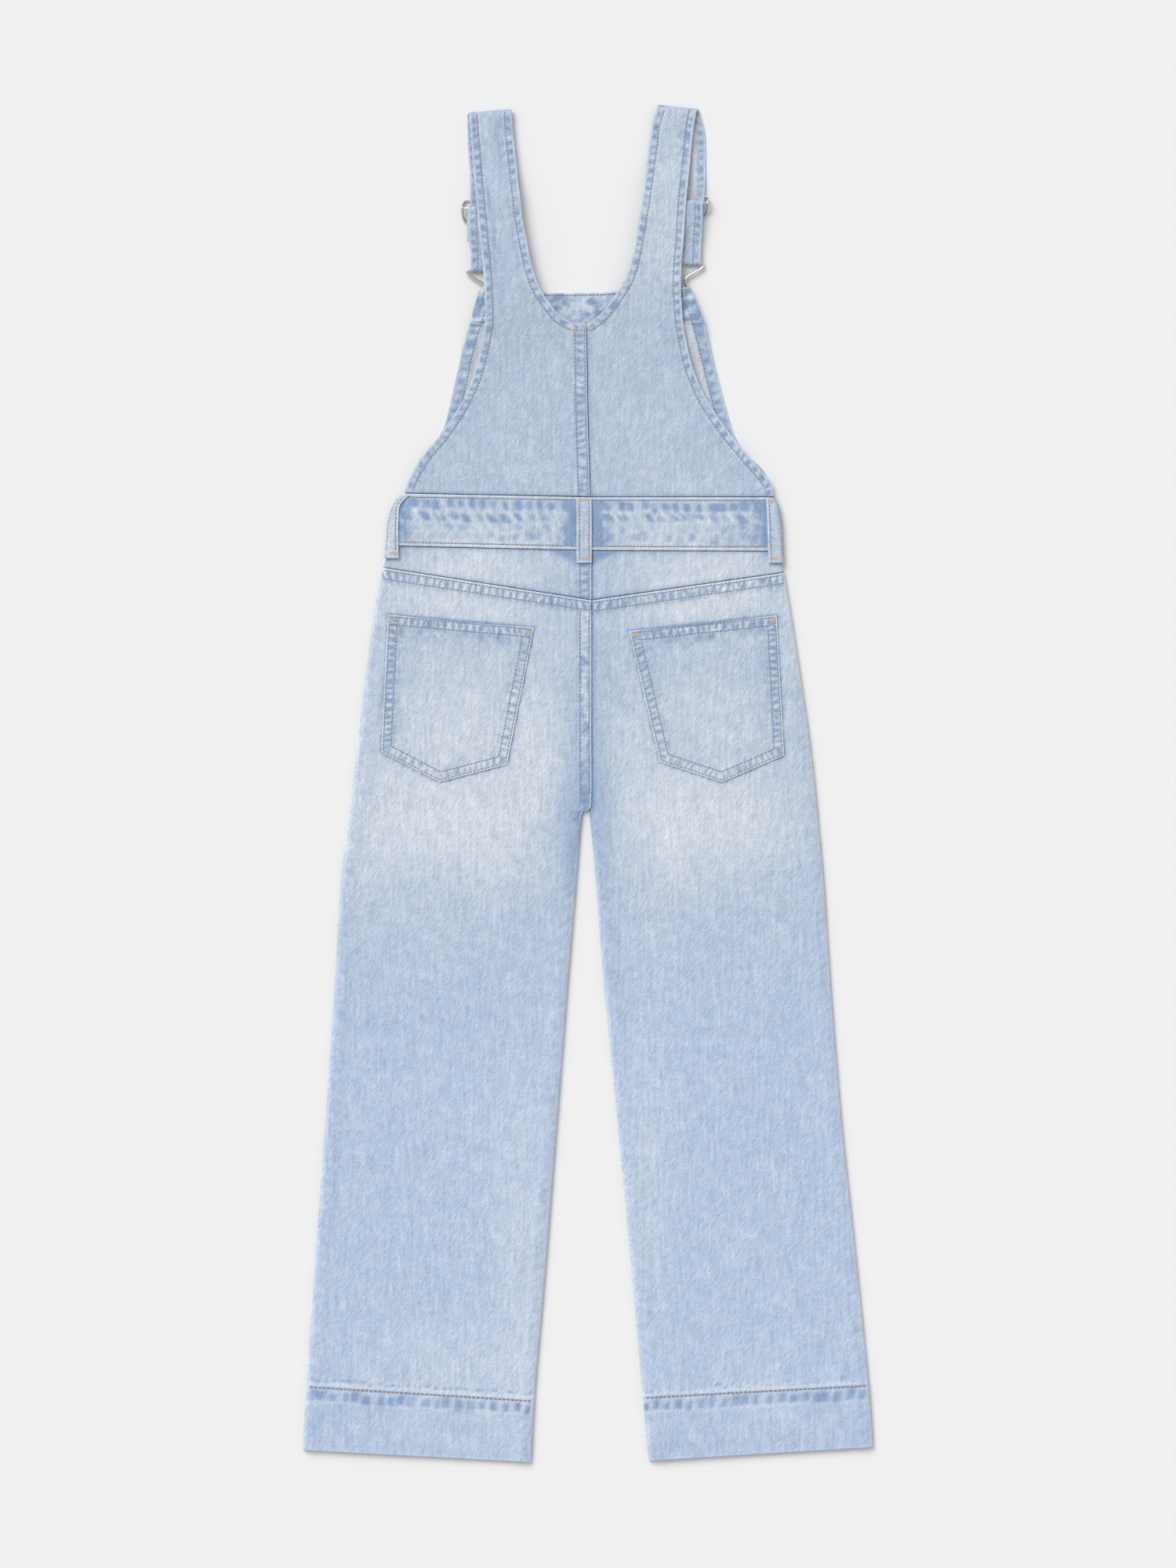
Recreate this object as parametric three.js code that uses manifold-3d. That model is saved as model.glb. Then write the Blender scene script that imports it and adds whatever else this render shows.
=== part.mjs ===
// Child's denim dungarees, laid flat on their front with the back up.
// Millimetres, +Z up, +Y towards the shoulders, +X to the wearer's right.
// The origin is on the surface below the middle of the garment.

import * as THREE from 'three';
import Module from 'manifold-3d';
import { mergeVertices } from 'three/addons/utils/BufferGeometryUtils.js';

// Cloth thicknesses and heights above the surface
const denim = 1.4;
const strapCloth = 1.2;
const bandCloth = 2.6;
const loopCloth = 1.5;
const pocketCloth = 1.3;
const seamGap = 0.3;
const backUnder = 3.6;
const frontBandCloth = 1.8;

// Turned and felled margins
const felledWidth = 11.3;
const felledRise = 0.8;
const bibSeamLength = 138;
const yokeSeamWidth = 9.5;
const legHemWidth = 50;
const legHemRise = 0.5;
const bibHemWidth = 25;
const bibHemRise = 0.9;
const sideHemWidth = 10.7;
const sideHemRise = 0.5;
const strapHemWidth = 6.2;
const strapHemRise = 0.4;
const pocketHemWidth = 8.5;
const pocketTopRise = 0.8;
const pocketSideRise = 0.3;
const foot = 1.2;

// How the cloth rolls down at a side and swells a little beside it
const rollWidth = 4;
const backRollDrop = 1.5;
const frontRollRise = 0.4;
const swellWidth = 16;
const swellRise = 0.7;
const rimMark = 1.3;

// Hardware
const wireRadius = 1.1;
const sliderWire = 1.0;
const sliderBarHalf = 23;
const rivetRadius = 1.9;
const rivetLength = 2.6;
const buttonHeadRadius = 9;
const buttonHeadHeight = 2;
const buttonShankRadius = 2.5;
const buttonShankTop = 4.5;
const bibAtButton = 4.8;
const clipReach = 28;
const strapHalf = 17.3;
const flapLength = 26;
const crotchY = -22;

const metal = { color: 0xb9bcc0, roughness: 0.3, metalness: 1 };
const cloth = { color: 0x8fa9c4, roughness: 0.85, metalness: 0 };

const named = (names, rows) =>
  rows.map((row) => Object.fromEntries(names.split(' ').map((name, i) => [name, row[i]])));

// A row for each section of a panel, from its top edge down
const sides = 'leftX leftY rightX rightY';
const legBelowCrotchLeft = [
  [-191.8, -27.1, -5.5, -30.2],
  [-198.1, -74.3, -9.3, -75.6],
  [-202.9, -151.2, -15.8, -153.1],
  [-210.4, -264.6, -24.9, -269.6],
  [-218.6, -378.0, -34.0, -385.6],
  [-225.9, -483.8, -43.3, -495.5],
  [-229.3, -534.4, -45.8, -544.3],
];
const legBelowCrotchRight = [
  [2.0, -30.2, 184.6, -28.4],
  [6.2, -75.6, 189.0, -75.6],
  [12.2, -153.1, 194.0, -151.2],
  [23.6, -269.6, 202.9, -264.6],
  [34.5, -385.6, 214.8, -378.0],
  [44.4, -496.4, 225.7, -486.4],
  [48.6, -543.0, 228.9, -532.0],
];
const backLegLeft = named(sides, [
  [-164.7, 173.6, 2.9, 147.4],
  [-170.1, 148.1, 2.9, 122.8],
  [-177.7, 94.5, 2.9, 75.6],
  [-183.3, 47.2, 2.9, 31.5],
  [-189.0, -1.9, 2.9, -10.7],
  [-190.3, -13.9, 2.0, -19.8],
  [-190.9, -18.9, -4.4, -22.4],
  ...legBelowCrotchLeft,
]);
const backLegRight = named(sides, [
  [3.3, 147.4, 157.2, 169.5],
  [3.3, 122.8, 161.3, 146.2],
  [3.3, 75.6, 168.8, 97.7],
  [3.3, 31.5, 175.1, 55.4],
  [3.3, -10.7, 181.1, 9.4],
  [2.9, -18.3, 183.3, -13.9],
  [1.5, -22.4, 184.0, -20.2],
  ...legBelowCrotchRight,
]);
const frontLegLeft = named(sides, [
  [-159.9, 190.8, -0.3, 187.1],
  [-164.6, 174.0, -0.3, 170.5],
  [-170.1, 148.1, -0.3, 142.3],
  [-177.7, 94.5, -0.3, 88.9],
  [-183.3, 47.2, -0.3, 37.8],
  [-189.0, -1.9, -0.3, -9.4],
  [-190.3, -13.9, -1.0, -18.9],
  ...legBelowCrotchLeft,
]);
const frontLegRight = named(sides, [
  [0.1, 187.1, 154.4, 186.5],
  [0.1, 170.2, 157.1, 170.0],
  [0.1, 142.3, 161.3, 146.2],
  [0.1, 88.9, 168.8, 97.7],
  [0.1, 37.8, 175.1, 55.4],
  [0.1, -9.4, 181.1, 9.4],
  [0.6, -18.9, 183.3, -13.9],
  ...legBelowCrotchRight,
]);
const yokeLeft = named(sides, [
  [-159.9, 190.8, 2.9, 187.1],
  [-161.4, 180.0, 2.9, 167.0],
  [-164.6, 174.0, 2.9, 147.9],
]);
const yokeRight = named(sides, [
  [3.3, 187.1, 154.4, 186.5],
  [3.3, 167.0, 155.3, 178.5],
  [3.3, 147.9, 157.1, 170.0],
]);
const frontBib = named(sides, [
  [-87.9, 395.3, 81.6, 398.8],
  [-94.5, 370.4, 92.3, 372.3],
  [-98.9, 356.6, 97.0, 355.3],
  [-105.2, 330.8, 103.3, 330.8],
  [-111.5, 302.4, 110.6, 302.4],
  [-116.5, 285.4, 117.8, 279.7],
  [-126.6, 270.3, 126.6, 265.9],
  [-138.6, 251.4, 141.1, 251.4],
  [-146.8, 233.7, 149.9, 230.7],
]);

// Bands and pockets have a corner in the middle of each row
const sidesAndMiddle = 'leftX leftY middleX middleY rightX rightY';
const backBand = named(sidesAndMiddle, [
  [-148.0, 233.1, 1.9, 230.1, 148.6, 230.1],
  [-154.1, 223.7, 2.2, 221.6, 151.5, 221.1],
  [-158.4, 211.1, 2.6, 209.6, 153.3, 209.8],
  [-159.9, 191.3, 3.0, 187.5, 154.2, 186.9],
]);
const frontBand = named(sidesAndMiddle, [
  [-148.0, 233.1, 1.9, 231.7, 148.6, 230.3],
  [-154.1, 223.7, 2.2, 221.9, 151.5, 221.1],
  [-158.4, 211.1, 2.6, 209.9, 153.3, 209.8],
  [-159.9, 191.3, 0.0, 187.5, 154.2, 186.9],
]);
const pocketLeft = named(sidesAndMiddle, [
  [-160.7, 136.1, -101.7, 129.6, -43.2, 125.6],
  [-163.4, 80.9, -110.4, 65.5, -54.0, 70.6],
  [-166.1, 25.8, -119.1, 1.4, -64.9, 15.6],
]);
const pocketRight = named(sidesAndMiddle, [
  [32.9, 122.8, 85.3, 126.6, 151.6, 135.5],
  [45.2, 70.2, 96.4, 64.0, 154.5, 79.2],
  [57.6, 17.6, 107.6, 1.4, 157.4, 22.9],
]);

// A row for each section of a bib half and its strap, from the waistband up to the shoulder,
// with the height of the middle of the cloth
const strip = 'leftX leftY leftZ rightX rightY rightZ';
const bibAndBackRunLeft = named(strip, [
  [-147.4, 233.6, 4.9, 1.6, 230.6, 4.9],
  [-144.6, 241.9, 4.9, 1.4, 241.3, 4.9],
  [-134.4, 261.1, 4.7, 0.8, 261.4, 4.6],
  [-116.7, 283.0, 4.6, 0.1, 284.8, 4.5],
  [-98.9, 311.2, 4.8, -0.5, 311.9, 4.5],
  [-90.1, 333.9, 5.8, -0.9, 338.9, 4.6],
  [-84.3, 358.2, 7.2, -1.3, 360.4, 4.9],
  [-82.8, 367.9, 8.2, -1.7, 368.9, 5.0],
  [-82.4, 374.9, 8.8, -12.0, 370.4, 5.8],
  [-82.5, 383.0, 9.3, -22.7, 376.1, 6.8],
  [-83.0, 391.9, 9.4, -32.1, 386.2, 8.0],
  [-83.5, 403.2, 9.3, -38.9, 398.2, 9.0],
  [-84.4, 415.8, 9.3, -44.1, 412.6, 9.3],
  [-86.6, 437.9, 9.6, -49.5, 437.9, 9.6],
  [-88.5, 456.8, 9.9, -52.9, 456.8, 9.9],
  [-89.8, 470.0, 9.8, -54.2, 470.0, 9.8],
  [-90.9, 481.9, 8.0, -55.8, 481.9, 8.0],
  [-92.0, 493.3, 5.7, -56.7, 493.3, 5.7],
  [-93.2, 510.3, 4.9, -58.6, 510.3, 4.9],
  [-94.8, 529.2, 4.85, -60.5, 529.2, 4.85],
  [-95.4, 537.0, 4.85, -60.9, 540.0, 4.85],
]);
const bibAndBackRunRight = named(strip, [
  [2.1, 230.5, 4.9, 148.9, 230.6, 4.9],
  [1.9, 241.3, 4.9, 147.2, 240.3, 4.9],
  [1.3, 261.4, 4.6, 131.0, 260.8, 4.7],
  [0.6, 284.8, 4.5, 114.2, 280.9, 4.6],
  [0.0, 311.9, 4.5, 93.9, 311.2, 4.8],
  [-0.4, 338.9, 4.6, 83.8, 335.2, 5.8],
  [-0.8, 360.4, 4.9, 78.4, 358.5, 7.2],
  [-1.1, 368.7, 5.0, 76.6, 368.6, 8.2],
  [4.4, 373.9, 5.8, 75.9, 374.9, 8.8],
  [12.0, 380.2, 6.9, 75.3, 383.0, 9.3],
  [19.5, 388.7, 8.0, 74.7, 391.9, 9.4],
  [26.8, 399.4, 9.0, 74.5, 403.2, 9.3],
  [32.8, 412.6, 9.3, 75.0, 415.8, 9.3],
  [38.1, 437.9, 9.6, 76.9, 439.1, 9.6],
  [41.5, 458.6, 9.9, 78.1, 458.6, 9.9],
  [44.1, 474.4, 9.8, 79.4, 474.4, 9.8],
  [45.7, 485.7, 8.0, 80.6, 485.7, 8.0],
  [47.2, 497.7, 5.7, 81.9, 497.7, 5.7],
  [49.5, 515.3, 4.9, 83.5, 515.3, 4.9],
  [51.7, 531.1, 4.85, 85.4, 530.5, 4.85],
  [55.6, 543.5, 4.85, 87.4, 540.0, 4.85],
]);
// The front run lies beneath, from the shoulder back down to the clip
const frontRunLeft = named(strip, [
  [-97.2, 535.4, 0.85, -62.4, 538.4, 0.85],
  [-96.4, 510.3, 0.85, -61.7, 510.3, 0.85],
  [-95.1, 490.1, 1.3, -60.5, 490.1, 1.3],
  [-94.5, 475.0, 2.8, -59.9, 475.0, 2.8],
  [-94.5, 462.1, 2.9, -59.9, 462.1, 2.9],
  [-94.5, 449.0, 2.9, -59.9, 449.0, 2.9],
  [-94.5, 436.0, 1.8, -59.9, 436.0, 1.8],
  [-94.4, 423.4, 0.9, -59.7, 423.4, 0.9],
]);
const frontRunRight = named(strip, [
  [57.2, 542.3, 0.85, 90.2, 538.4, 0.85],
  [58.9, 528.0, 0.85, 93.6, 525.0, 0.85],
  [59.9, 512.3, 0.85, 94.5, 512.3, 0.85],
  [59.9, 492.1, 1.3, 94.5, 492.1, 1.3],
  [59.4, 478.0, 2.8, 94.0, 478.0, 2.8],
  [58.8, 465.9, 2.9, 93.4, 465.9, 2.9],
  [57.8, 452.0, 2.9, 92.4, 452.0, 2.9],
  [56.6, 439.0, 1.8, 91.2, 439.0, 1.8],
  [55.7, 429.4, 0.9, 90.4, 429.4, 0.9],
]);

// What a strap carries: the clip's top bar and its turn, the slider's middle bar, how far the strap
// shifts on its way up to it, and how far the sewn-down end stands out beside the strap
const holders = {
  left: { bar: [-77.4, 413.6], barTurn: 1.6, middle: [-78.8, 461.6], shift: -1.4, peek: -1.3 },
  right: { bar: [72.8, 419.4], barTurn: -4, middle: [74.3, 465.9], shift: 1.5, peek: 0 },
};

const clamp = (value) => Math.min(1, Math.max(0, value));
const smooth = (value) => clamp(value) ** 2 * (3 - 2 * clamp(value));

// A margin raised by rise out to width from its edge, with a short slope at its foot
const margin = (distance, width, rise) => rise * clamp((width + foot - distance) / foot);

const roll = (distance) => clamp(1 - distance / rollWidth) ** 2;
const swell = (distance) => (distance < swellWidth ? Math.sin(Math.PI * distance / swellWidth) ** 2 : 0);

// Soft waves over the back of the legs
function wave(x, y) {
  const settled = smooth((150 - y) / 50);
  return settled * (0.3 * Math.sin(x / 31 + y / 83 + 0.8) + 0.22 * Math.sin(y / 47 - x / 60 + 2));
}

function closedWall(outer, inner) {
  const rows = outer.length;
  const columns = outer[0].length;
  const positions = [];
  for (const skin of [outer, inner]) {
    skin.flat().forEach((point) => positions.push(point.x, point.y, point.z));
  }
  const at = (skin, i, j) => (skin * rows + i) * columns + j;
  let faces = [];
  const quad = (a, b, c, d) => faces.push(a, b, c, a, c, d);
  for (let i = 0; i + 1 < rows; i += 1) {
    for (let j = 0; j + 1 < columns; j += 1) {
      quad(at(0, i, j), at(0, i, j + 1), at(0, i + 1, j + 1), at(0, i + 1, j));
      quad(at(1, i, j), at(1, i + 1, j), at(1, i + 1, j + 1), at(1, i, j + 1));
    }
    quad(at(0, i, 0), at(0, i + 1, 0), at(1, i + 1, 0), at(1, i, 0));
    const last = columns - 1;
    quad(at(0, i, last), at(1, i, last), at(1, i + 1, last), at(0, i + 1, last));
  }
  for (let j = 0; j + 1 < columns; j += 1) {
    const end = rows - 1;
    quad(at(0, 0, j), at(1, 0, j), at(1, 0, j + 1), at(0, 0, j + 1));
    quad(at(0, end, j), at(0, end, j + 1), at(1, end, j + 1), at(1, end, j));
  }
  return outward(positions, faces);
}

// Turns all faces over where they point in
function outward(positions, faces) {
  const corner = (k) => new THREE.Vector3().fromArray(positions, 3 * faces[k]);
  let volume = 0;
  for (let k = 0; k < faces.length; k += 3) {
    volume += corner(k).dot(corner(k + 1).cross(corner(k + 2)));
  }
  const turned = volume < 0 ? faces.slice().reverse() : faces;
  const geometry = new THREE.BufferGeometry();
  geometry.setAttribute('position', new THREE.Float32BufferAttribute(positions, 3));
  geometry.setIndex(turned);
  return geometry;
}

const lerp = (a, b, t) => new THREE.Vector3().lerpVectors(a, b, t);

// Where the rows of a panel fall: at each table row and each mark, and no further apart than step
const samplesPerRow = 24;
const closestMarks = 0.25;
function stations(curves, count, { step, startMarks = [], endMarks = [] }) {
  const samples = samplesPerRow * (count - 1);
  const lengths = [0];
  for (let k = 1; k <= samples; k += 1) {
    const part = curves.map((curve) =>
      curve.getPoint(k / samples).distanceTo(curve.getPoint((k - 1) / samples)));
    lengths.push(lengths[k - 1] + part.reduce((sum, value) => sum + value, 0) / curves.length);
  }
  const total = lengths[samples];
  const fixed = [...startMarks, ...endMarks.map((mark) => total - mark)];
  for (let row = 0; row < count; row += 1) {
    fixed.push(lengths[samplesPerRow * row]);
  }
  fixed.sort((a, b) => a - b);
  const kept = fixed.filter((value, k) => k === 0 || value - fixed[k - 1] > closestMarks);
  kept[kept.length - 1] = total;
  const places = [];
  for (let k = 0; k + 1 < kept.length; k += 1) {
    const parts = Math.ceil((kept[k + 1] - kept[k]) / step);
    for (let part = 0; part < parts; part += 1) {
      places.push(kept[k] + (kept[k + 1] - kept[k]) * part / parts);
    }
  }
  places.push(total);
  return places.map((place) => {
    let k = 1;
    while (k < samples && lengths[k] < place) k += 1;
    const part = (place - lengths[k - 1]) / (lengths[k] - lengths[k - 1] || 1);
    return { t: clamp((k - 1 + part) / samples), fromStart: place, fromEnd: total - place };
  });
}

// Where the columns of a row fall: at marks from both sides, with even steps between
function columnPlaces(width, { leftMarks = [0], rightMarks = [0], across }) {
  const reach = leftMarks.at(-1) + rightMarks.at(-1);
  const scale = Math.min(1, 0.9 * width / (reach || 1));
  const start = leftMarks.map((mark) => mark * scale);
  const end = rightMarks.map((mark) => width - mark * scale).reverse();
  const places = [...start];
  for (let k = 1; k < across; k += 1) {
    places.push(start.at(-1) + (end[0] - start.at(-1)) * k / across);
  }
  return [...places, ...end];
}

// A sheet of cloth with a real wall. outside and inside give how far its two faces stand
// from the sheet that the rows describe; flat sheets are thickened straight up.
function sheet({ rows, flat = true, height, outside, inside = () => 0, ...layout }) {
  const curve = (x, y, z) => new THREE.CatmullRomCurve3(
    rows.map((row) => new THREE.Vector3(row[x], row[y], row[z] ?? 0)), false, 'centripetal');
  const left = curve('leftX', 'leftY', 'leftZ');
  const right = curve('rightX', 'rightY', 'rightZ');
  const middle = 'middleX' in rows[0] ? curve('middleX', 'middleY', 'middleZ') : null;
  const grid = stations([left, right], rows.length, layout).map(({ t, ...along }) => {
    const from = left.getPoint(t);
    const to = right.getPoint(t);
    const corner = middle ? middle.getPoint(t) : lerp(from, to, 0.5);
    const half = from.distanceTo(corner);
    const width = half + corner.distanceTo(to);
    return columnPlaces(width, layout).map((place) => {
      const point = place < half
        ? lerp(from, corner, place / half)
        : lerp(corner, to, (place - half) / (width - half));
      const where = { ...along, fromLeft: place, fromRight: width - place, x: point.x, y: point.y };
      if (height) point.z = height(where);
      return { point, where };
    });
  });
  const normal = (i, j) => {
    if (flat) return new THREE.Vector3(0, 0, 1);
    const row = grid[i];
    const before = grid[Math.max(0, i - 1)][j].point;
    const after = grid[Math.min(grid.length - 1, i + 1)][j].point;
    const across = row[Math.min(row.length - 1, j + 1)].point.clone();
    across.sub(row[Math.max(0, j - 1)].point);
    return across.cross(after.clone().sub(before)).normalize();
  };
  const skin = (distance, sign) => grid.map((row, i) => row.map(({ point, where }, j) =>
    point.clone().addScaledVector(normal(i, j), sign * distance(where))));
  return closedWall(skin(outside, 1), skin(inside, -1));
}

// Stations of a half turn from one cross line to another that lies above or below it
function halfTurn(from, to, direction, reach, parts) {
  const turned = [];
  for (let k = 1; k < parts; k += 1) {
    const angle = Math.PI * k / parts;
    const mix = (1 - Math.cos(angle)) / 2;
    const out = direction * reach * Math.sin(angle);
    const between = (name) => from[name] * (1 - mix) + to[name] * mix;
    turned.push({
      leftX: between('leftX'), leftY: between('leftY') + out, leftZ: between('leftZ'),
      rightX: between('rightX'), rightY: between('rightY') + out, rightZ: between('rightZ'),
    });
  }
  return turned;
}

const crossLine = ([x, y], z, slope = 0) => ({
  leftX: x - strapHalf, leftY: y - strapHalf * slope, leftZ: z,
  rightX: x + strapHalf, rightY: y + strapHalf * slope, rightZ: z,
});

// Heights of the middle of the strap's cloth where it turns round the clip and the slider
const clipLower = 0.9;
const clipUpper = 4.9;
const sliderLower = 4.4;
const sliderUpper = 8.2;

// The strap's stations after the bib: over the shoulder, down to the clip, round its bar,
// back up, round the slider's middle bar and a short way down again beneath itself
function strapStations(backRun, frontRun, { bar, barTurn, middle, shift, peek }) {
  const top = backRun.at(-1);
  const shoulderReach = (top.leftZ - frontRun[0].leftZ) / 2;
  const slope = Math.tan(THREE.MathUtils.degToRad(barTurn));
  const centre = (frontRun.at(-1).leftX + frontRun.at(-1).rightX) / 2;
  const barPlace = [centre, bar[1]];
  const down = crossLine(barPlace, clipLower, slope);
  const up = crossLine(barPlace, clipUpper, slope);
  const ascent = [
    crossLine([barPlace[0] + 0.2 * shift, bar[1] + 12], clipUpper + 0.1, slope / 2),
    crossLine([barPlace[0] + 0.6 * shift, middle[1] - flapLength], clipUpper + 0.9),
    crossLine([barPlace[0] + shift, middle[1] - 11], sliderUpper - 0.4),
  ];
  const slack = [barPlace[0] + shift, middle[1]];
  const high = crossLine(slack, sliderUpper);
  const low = crossLine(slack, sliderLower);
  const flap = [
    crossLine([slack[0] + peek, middle[1] - 10], sliderLower - 0.1),
    crossLine([slack[0] + peek, middle[1] - flapLength], sliderLower - 0.4),
  ];
  return [
    ...backRun,
    ...halfTurn(top, frontRun[0], 1, shoulderReach, 5),
    ...frontRun,
    down,
    ...halfTurn(down, up, -1, (clipUpper - clipLower) / 2, 6),
    up,
    ...ascent,
    high,
    ...halfTurn(high, low, 1, (sliderUpper - sliderLower) / 2, 6),
    low,
    ...flap,
  ];
}

const group = new THREE.Group();

function add(name, geometry, finish) {
  const mesh = new THREE.Mesh(geometry, new THREE.MeshStandardMaterial(finish));
  mesh.name = name;
  group.add(mesh);
}

// Back bibs with their straps. The left one laps over the right along the middle.
const backRunLength = 320;
const hemFadeStart = 440;
const hemFadeEnd = 500;
function bib(backRun, frontRun, holder, lapped) {
  return sheet({
    rows: strapStations(backRun, frontRun, holder),
    flat: false,
    step: 20,
    across: 2,
    leftMarks: [0, strapHemWidth, strapHemWidth + foot],
    rightMarks: [0, strapHemWidth, strapHemWidth + foot],
    outside: ({ fromLeft, fromRight, fromStart, y }) => {
      const faded = 1 - smooth((y - hemFadeStart) / (hemFadeEnd - hemFadeStart));
      const onBack = fromStart < backRunLength ? faded : 0;
      const hem = Math.max(
        margin(fromLeft, strapHemWidth, strapHemRise),
        margin(fromRight, strapHemWidth, strapHemRise));
      const beside = lapped && fromStart < bibSeamLength;
      const felled = beside ? margin(fromRight, felledWidth, felledRise) : 0;
      return strapCloth / 2 + Math.max(hem * onBack, felled);
    },
    inside: () => strapCloth / 2,
  });
}
add('back_bib_left', bib(bibAndBackRunLeft, frontRunLeft, holders.left, true), cloth);
add('back_bib_right', bib(bibAndBackRunRight, frontRunRight, holders.right, false), cloth);

// Front bib: its top corners are lifted by the clips and buttons beneath
const clipSpin = ({ barTurn }) => THREE.MathUtils.degToRad(barTurn);
const buttonPlace = (holder) => [
  holder.bar[0] + clipReach * Math.sin(clipSpin(holder)),
  holder.bar[1] - clipReach * Math.cos(clipSpin(holder)),
];
const flatRadius = 16;
const liftRadius = 62;
function bibLift({ x, y }) {
  const rise = Object.values(holders).map((holder) => {
    const [buttonX, buttonY] = buttonPlace(holder);
    const distance = Math.hypot(x - buttonX, y - buttonY);
    return 1 - smooth((distance - flatRadius) / (liftRadius - flatRadius));
  });
  return bibAtButton * Math.max(...rise);
}
add('front_bib', sheet({
  rows: frontBib,
  step: 13,
  across: 10,
  leftMarks: [0, sideHemWidth, sideHemWidth + foot],
  rightMarks: [0, sideHemWidth, sideHemWidth + foot],
  startMarks: [bibHemWidth, bibHemWidth + foot],
  height: bibLift,
  outside: ({ fromStart, fromLeft, fromRight }) => denim + Math.max(
    margin(fromStart, bibHemWidth, bibHemRise),
    margin(fromLeft, sideHemWidth, sideHemRise),
    margin(fromRight, sideHemWidth, sideHemRise)),
}), cloth);

// Waistband
const rolledSide = [0, rimMark, rollWidth];
add('waistband_back', sheet({
  rows: backBand,
  leftMarks: rolledSide,
  rightMarks: rolledSide,
  step: 14,
  across: 12,
  height: ({ fromLeft, fromRight }) => backUnder - backRollDrop * (roll(fromLeft) + roll(fromRight)),
  outside: () => bandCloth,
}), cloth);
add('waistband_front', sheet({
  rows: frontBand,
  step: 20,
  across: 6,
  height: () => 0,
  outside: () => frontBandCloth,
}), cloth);

// Legs and yokes. The left back panels lap over the right ones along the middle seam.
const belowCrotch = (y) => smooth((crotchY - y) / 14);
const belowBelt = (y) => smooth((130 - y) / 60);
function legHeight(outer, middle, x, y) {
  const open = belowCrotch(y);
  const edge = Math.min(outer, open > 0 ? middle / open : Infinity);
  const soft = wave(x, y) * smooth(edge / swellWidth);
  const down = backRollDrop * (roll(outer) + open * roll(middle));
  const up = swellRise * (swell(outer) + open * swell(middle)) * belowBelt(y);
  return backUnder + soft - down + up;
}

const rolledMarks = [...rolledSide, 9, swellWidth];
const middleMarks = [...rolledSide, felledWidth, felledWidth + foot];
function backLeg(rows, isLeft) {
  const outer = ({ fromLeft, fromRight }) => (isLeft ? fromLeft : fromRight);
  const middle = ({ fromLeft, fromRight }) => (isLeft ? fromRight : fromLeft);
  return sheet({
    rows,
    step: 34,
    across: 4,
    leftMarks: isLeft ? rolledMarks : middleMarks,
    rightMarks: isLeft ? middleMarks : rolledMarks,
    startMarks: [yokeSeamWidth, yokeSeamWidth + foot],
    endMarks: [legHemWidth, legHemWidth + foot],
    height: (where) => legHeight(outer(where), middle(where), where.x, where.y),
    outside: (where) => {
      const felled = isLeft ? margin(middle(where), felledWidth, felledRise) : 0;
      return denim + Math.max(
        margin(where.fromStart, yokeSeamWidth, felledRise),
        margin(where.fromEnd, legHemWidth, legHemRise),
        felled * (1 - belowCrotch(where.y)));
    },
  });
}
add('back_leg_left', backLeg(backLegLeft, true), cloth);
add('back_leg_right', backLeg(backLegRight, false), cloth);

function frontLeg(rows, isLeft) {
  return sheet({
    rows,
    step: 50,
    across: 4,
    leftMarks: rolledSide,
    rightMarks: rolledSide,
    height: ({ fromLeft, fromRight, y }) => {
      const outer = isLeft ? fromLeft : fromRight;
      const middle = isLeft ? fromRight : fromLeft;
      return frontRollRise * (roll(outer) + belowCrotch(y) * roll(middle));
    },
    outside: () => denim,
  });
}
add('front_leg_left', frontLeg(frontLegLeft, true), cloth);
add('front_leg_right', frontLeg(frontLegRight, false), cloth);

function yoke(rows, isLeft) {
  return sheet({
    rows,
    step: 16,
    across: 5,
    leftMarks: isLeft ? rolledSide : [0],
    rightMarks: isLeft ? [0, felledWidth, felledWidth + foot] : rolledSide,
    height: ({ fromLeft, fromRight }) => backUnder - backRollDrop * roll(isLeft ? fromLeft : fromRight),
    outside: ({ fromRight }) => denim + (isLeft ? margin(fromRight, felledWidth, felledRise) : 0),
  });
}
add('yoke_left', yoke(yokeLeft, true), cloth);
add('yoke_right', yoke(yokeRight, false), cloth);

// Patch pockets, made from the leg's surface moved out
function pocket(rows) {
  return sheet({
    rows,
    step: 20,
    across: 5,
    leftMarks: [0, pocketHemWidth, pocketHemWidth + foot],
    rightMarks: [0, pocketHemWidth, pocketHemWidth + foot],
    startMarks: [pocketHemWidth, pocketHemWidth + foot],
    height: ({ x, y }) => backUnder + denim + wave(x, y) + seamGap,
    outside: ({ fromStart, fromLeft, fromRight }) => pocketCloth + Math.max(
      margin(fromStart, pocketHemWidth, pocketTopRise),
      margin(fromLeft, pocketHemWidth, pocketSideRise),
      margin(fromRight, pocketHemWidth, pocketSideRise)),
  });
}
add('pocket_left', pocket(pocketLeft), cloth);
add('pocket_right', pocket(pocketRight), cloth);

// Belt loops
const onBand = backUnder + bandCloth + seamGap;
add('loop_centre', sheet({
  rows: named(strip, [
    [-9.4, 229.4, onBand, 2.9, 229.1, onBand],
    [-9.2, 205.0, onBand + 0.4, 3.1, 205.0, onBand + 0.4],
    [-9.2, 184.0, onBand, 3.1, 184.0, onBand],
    [-9.2, 177.2, onBand - 0.3, 3.1, 177.2, onBand - 0.3],
  ]),
  flat: false,
  step: 9,
  across: 1,
  leftMarks: [0, 2.2],
  rightMarks: [0, 2.2],
  outside: () => -loopCloth,
  inside: () => 0,
}), cloth);

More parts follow.
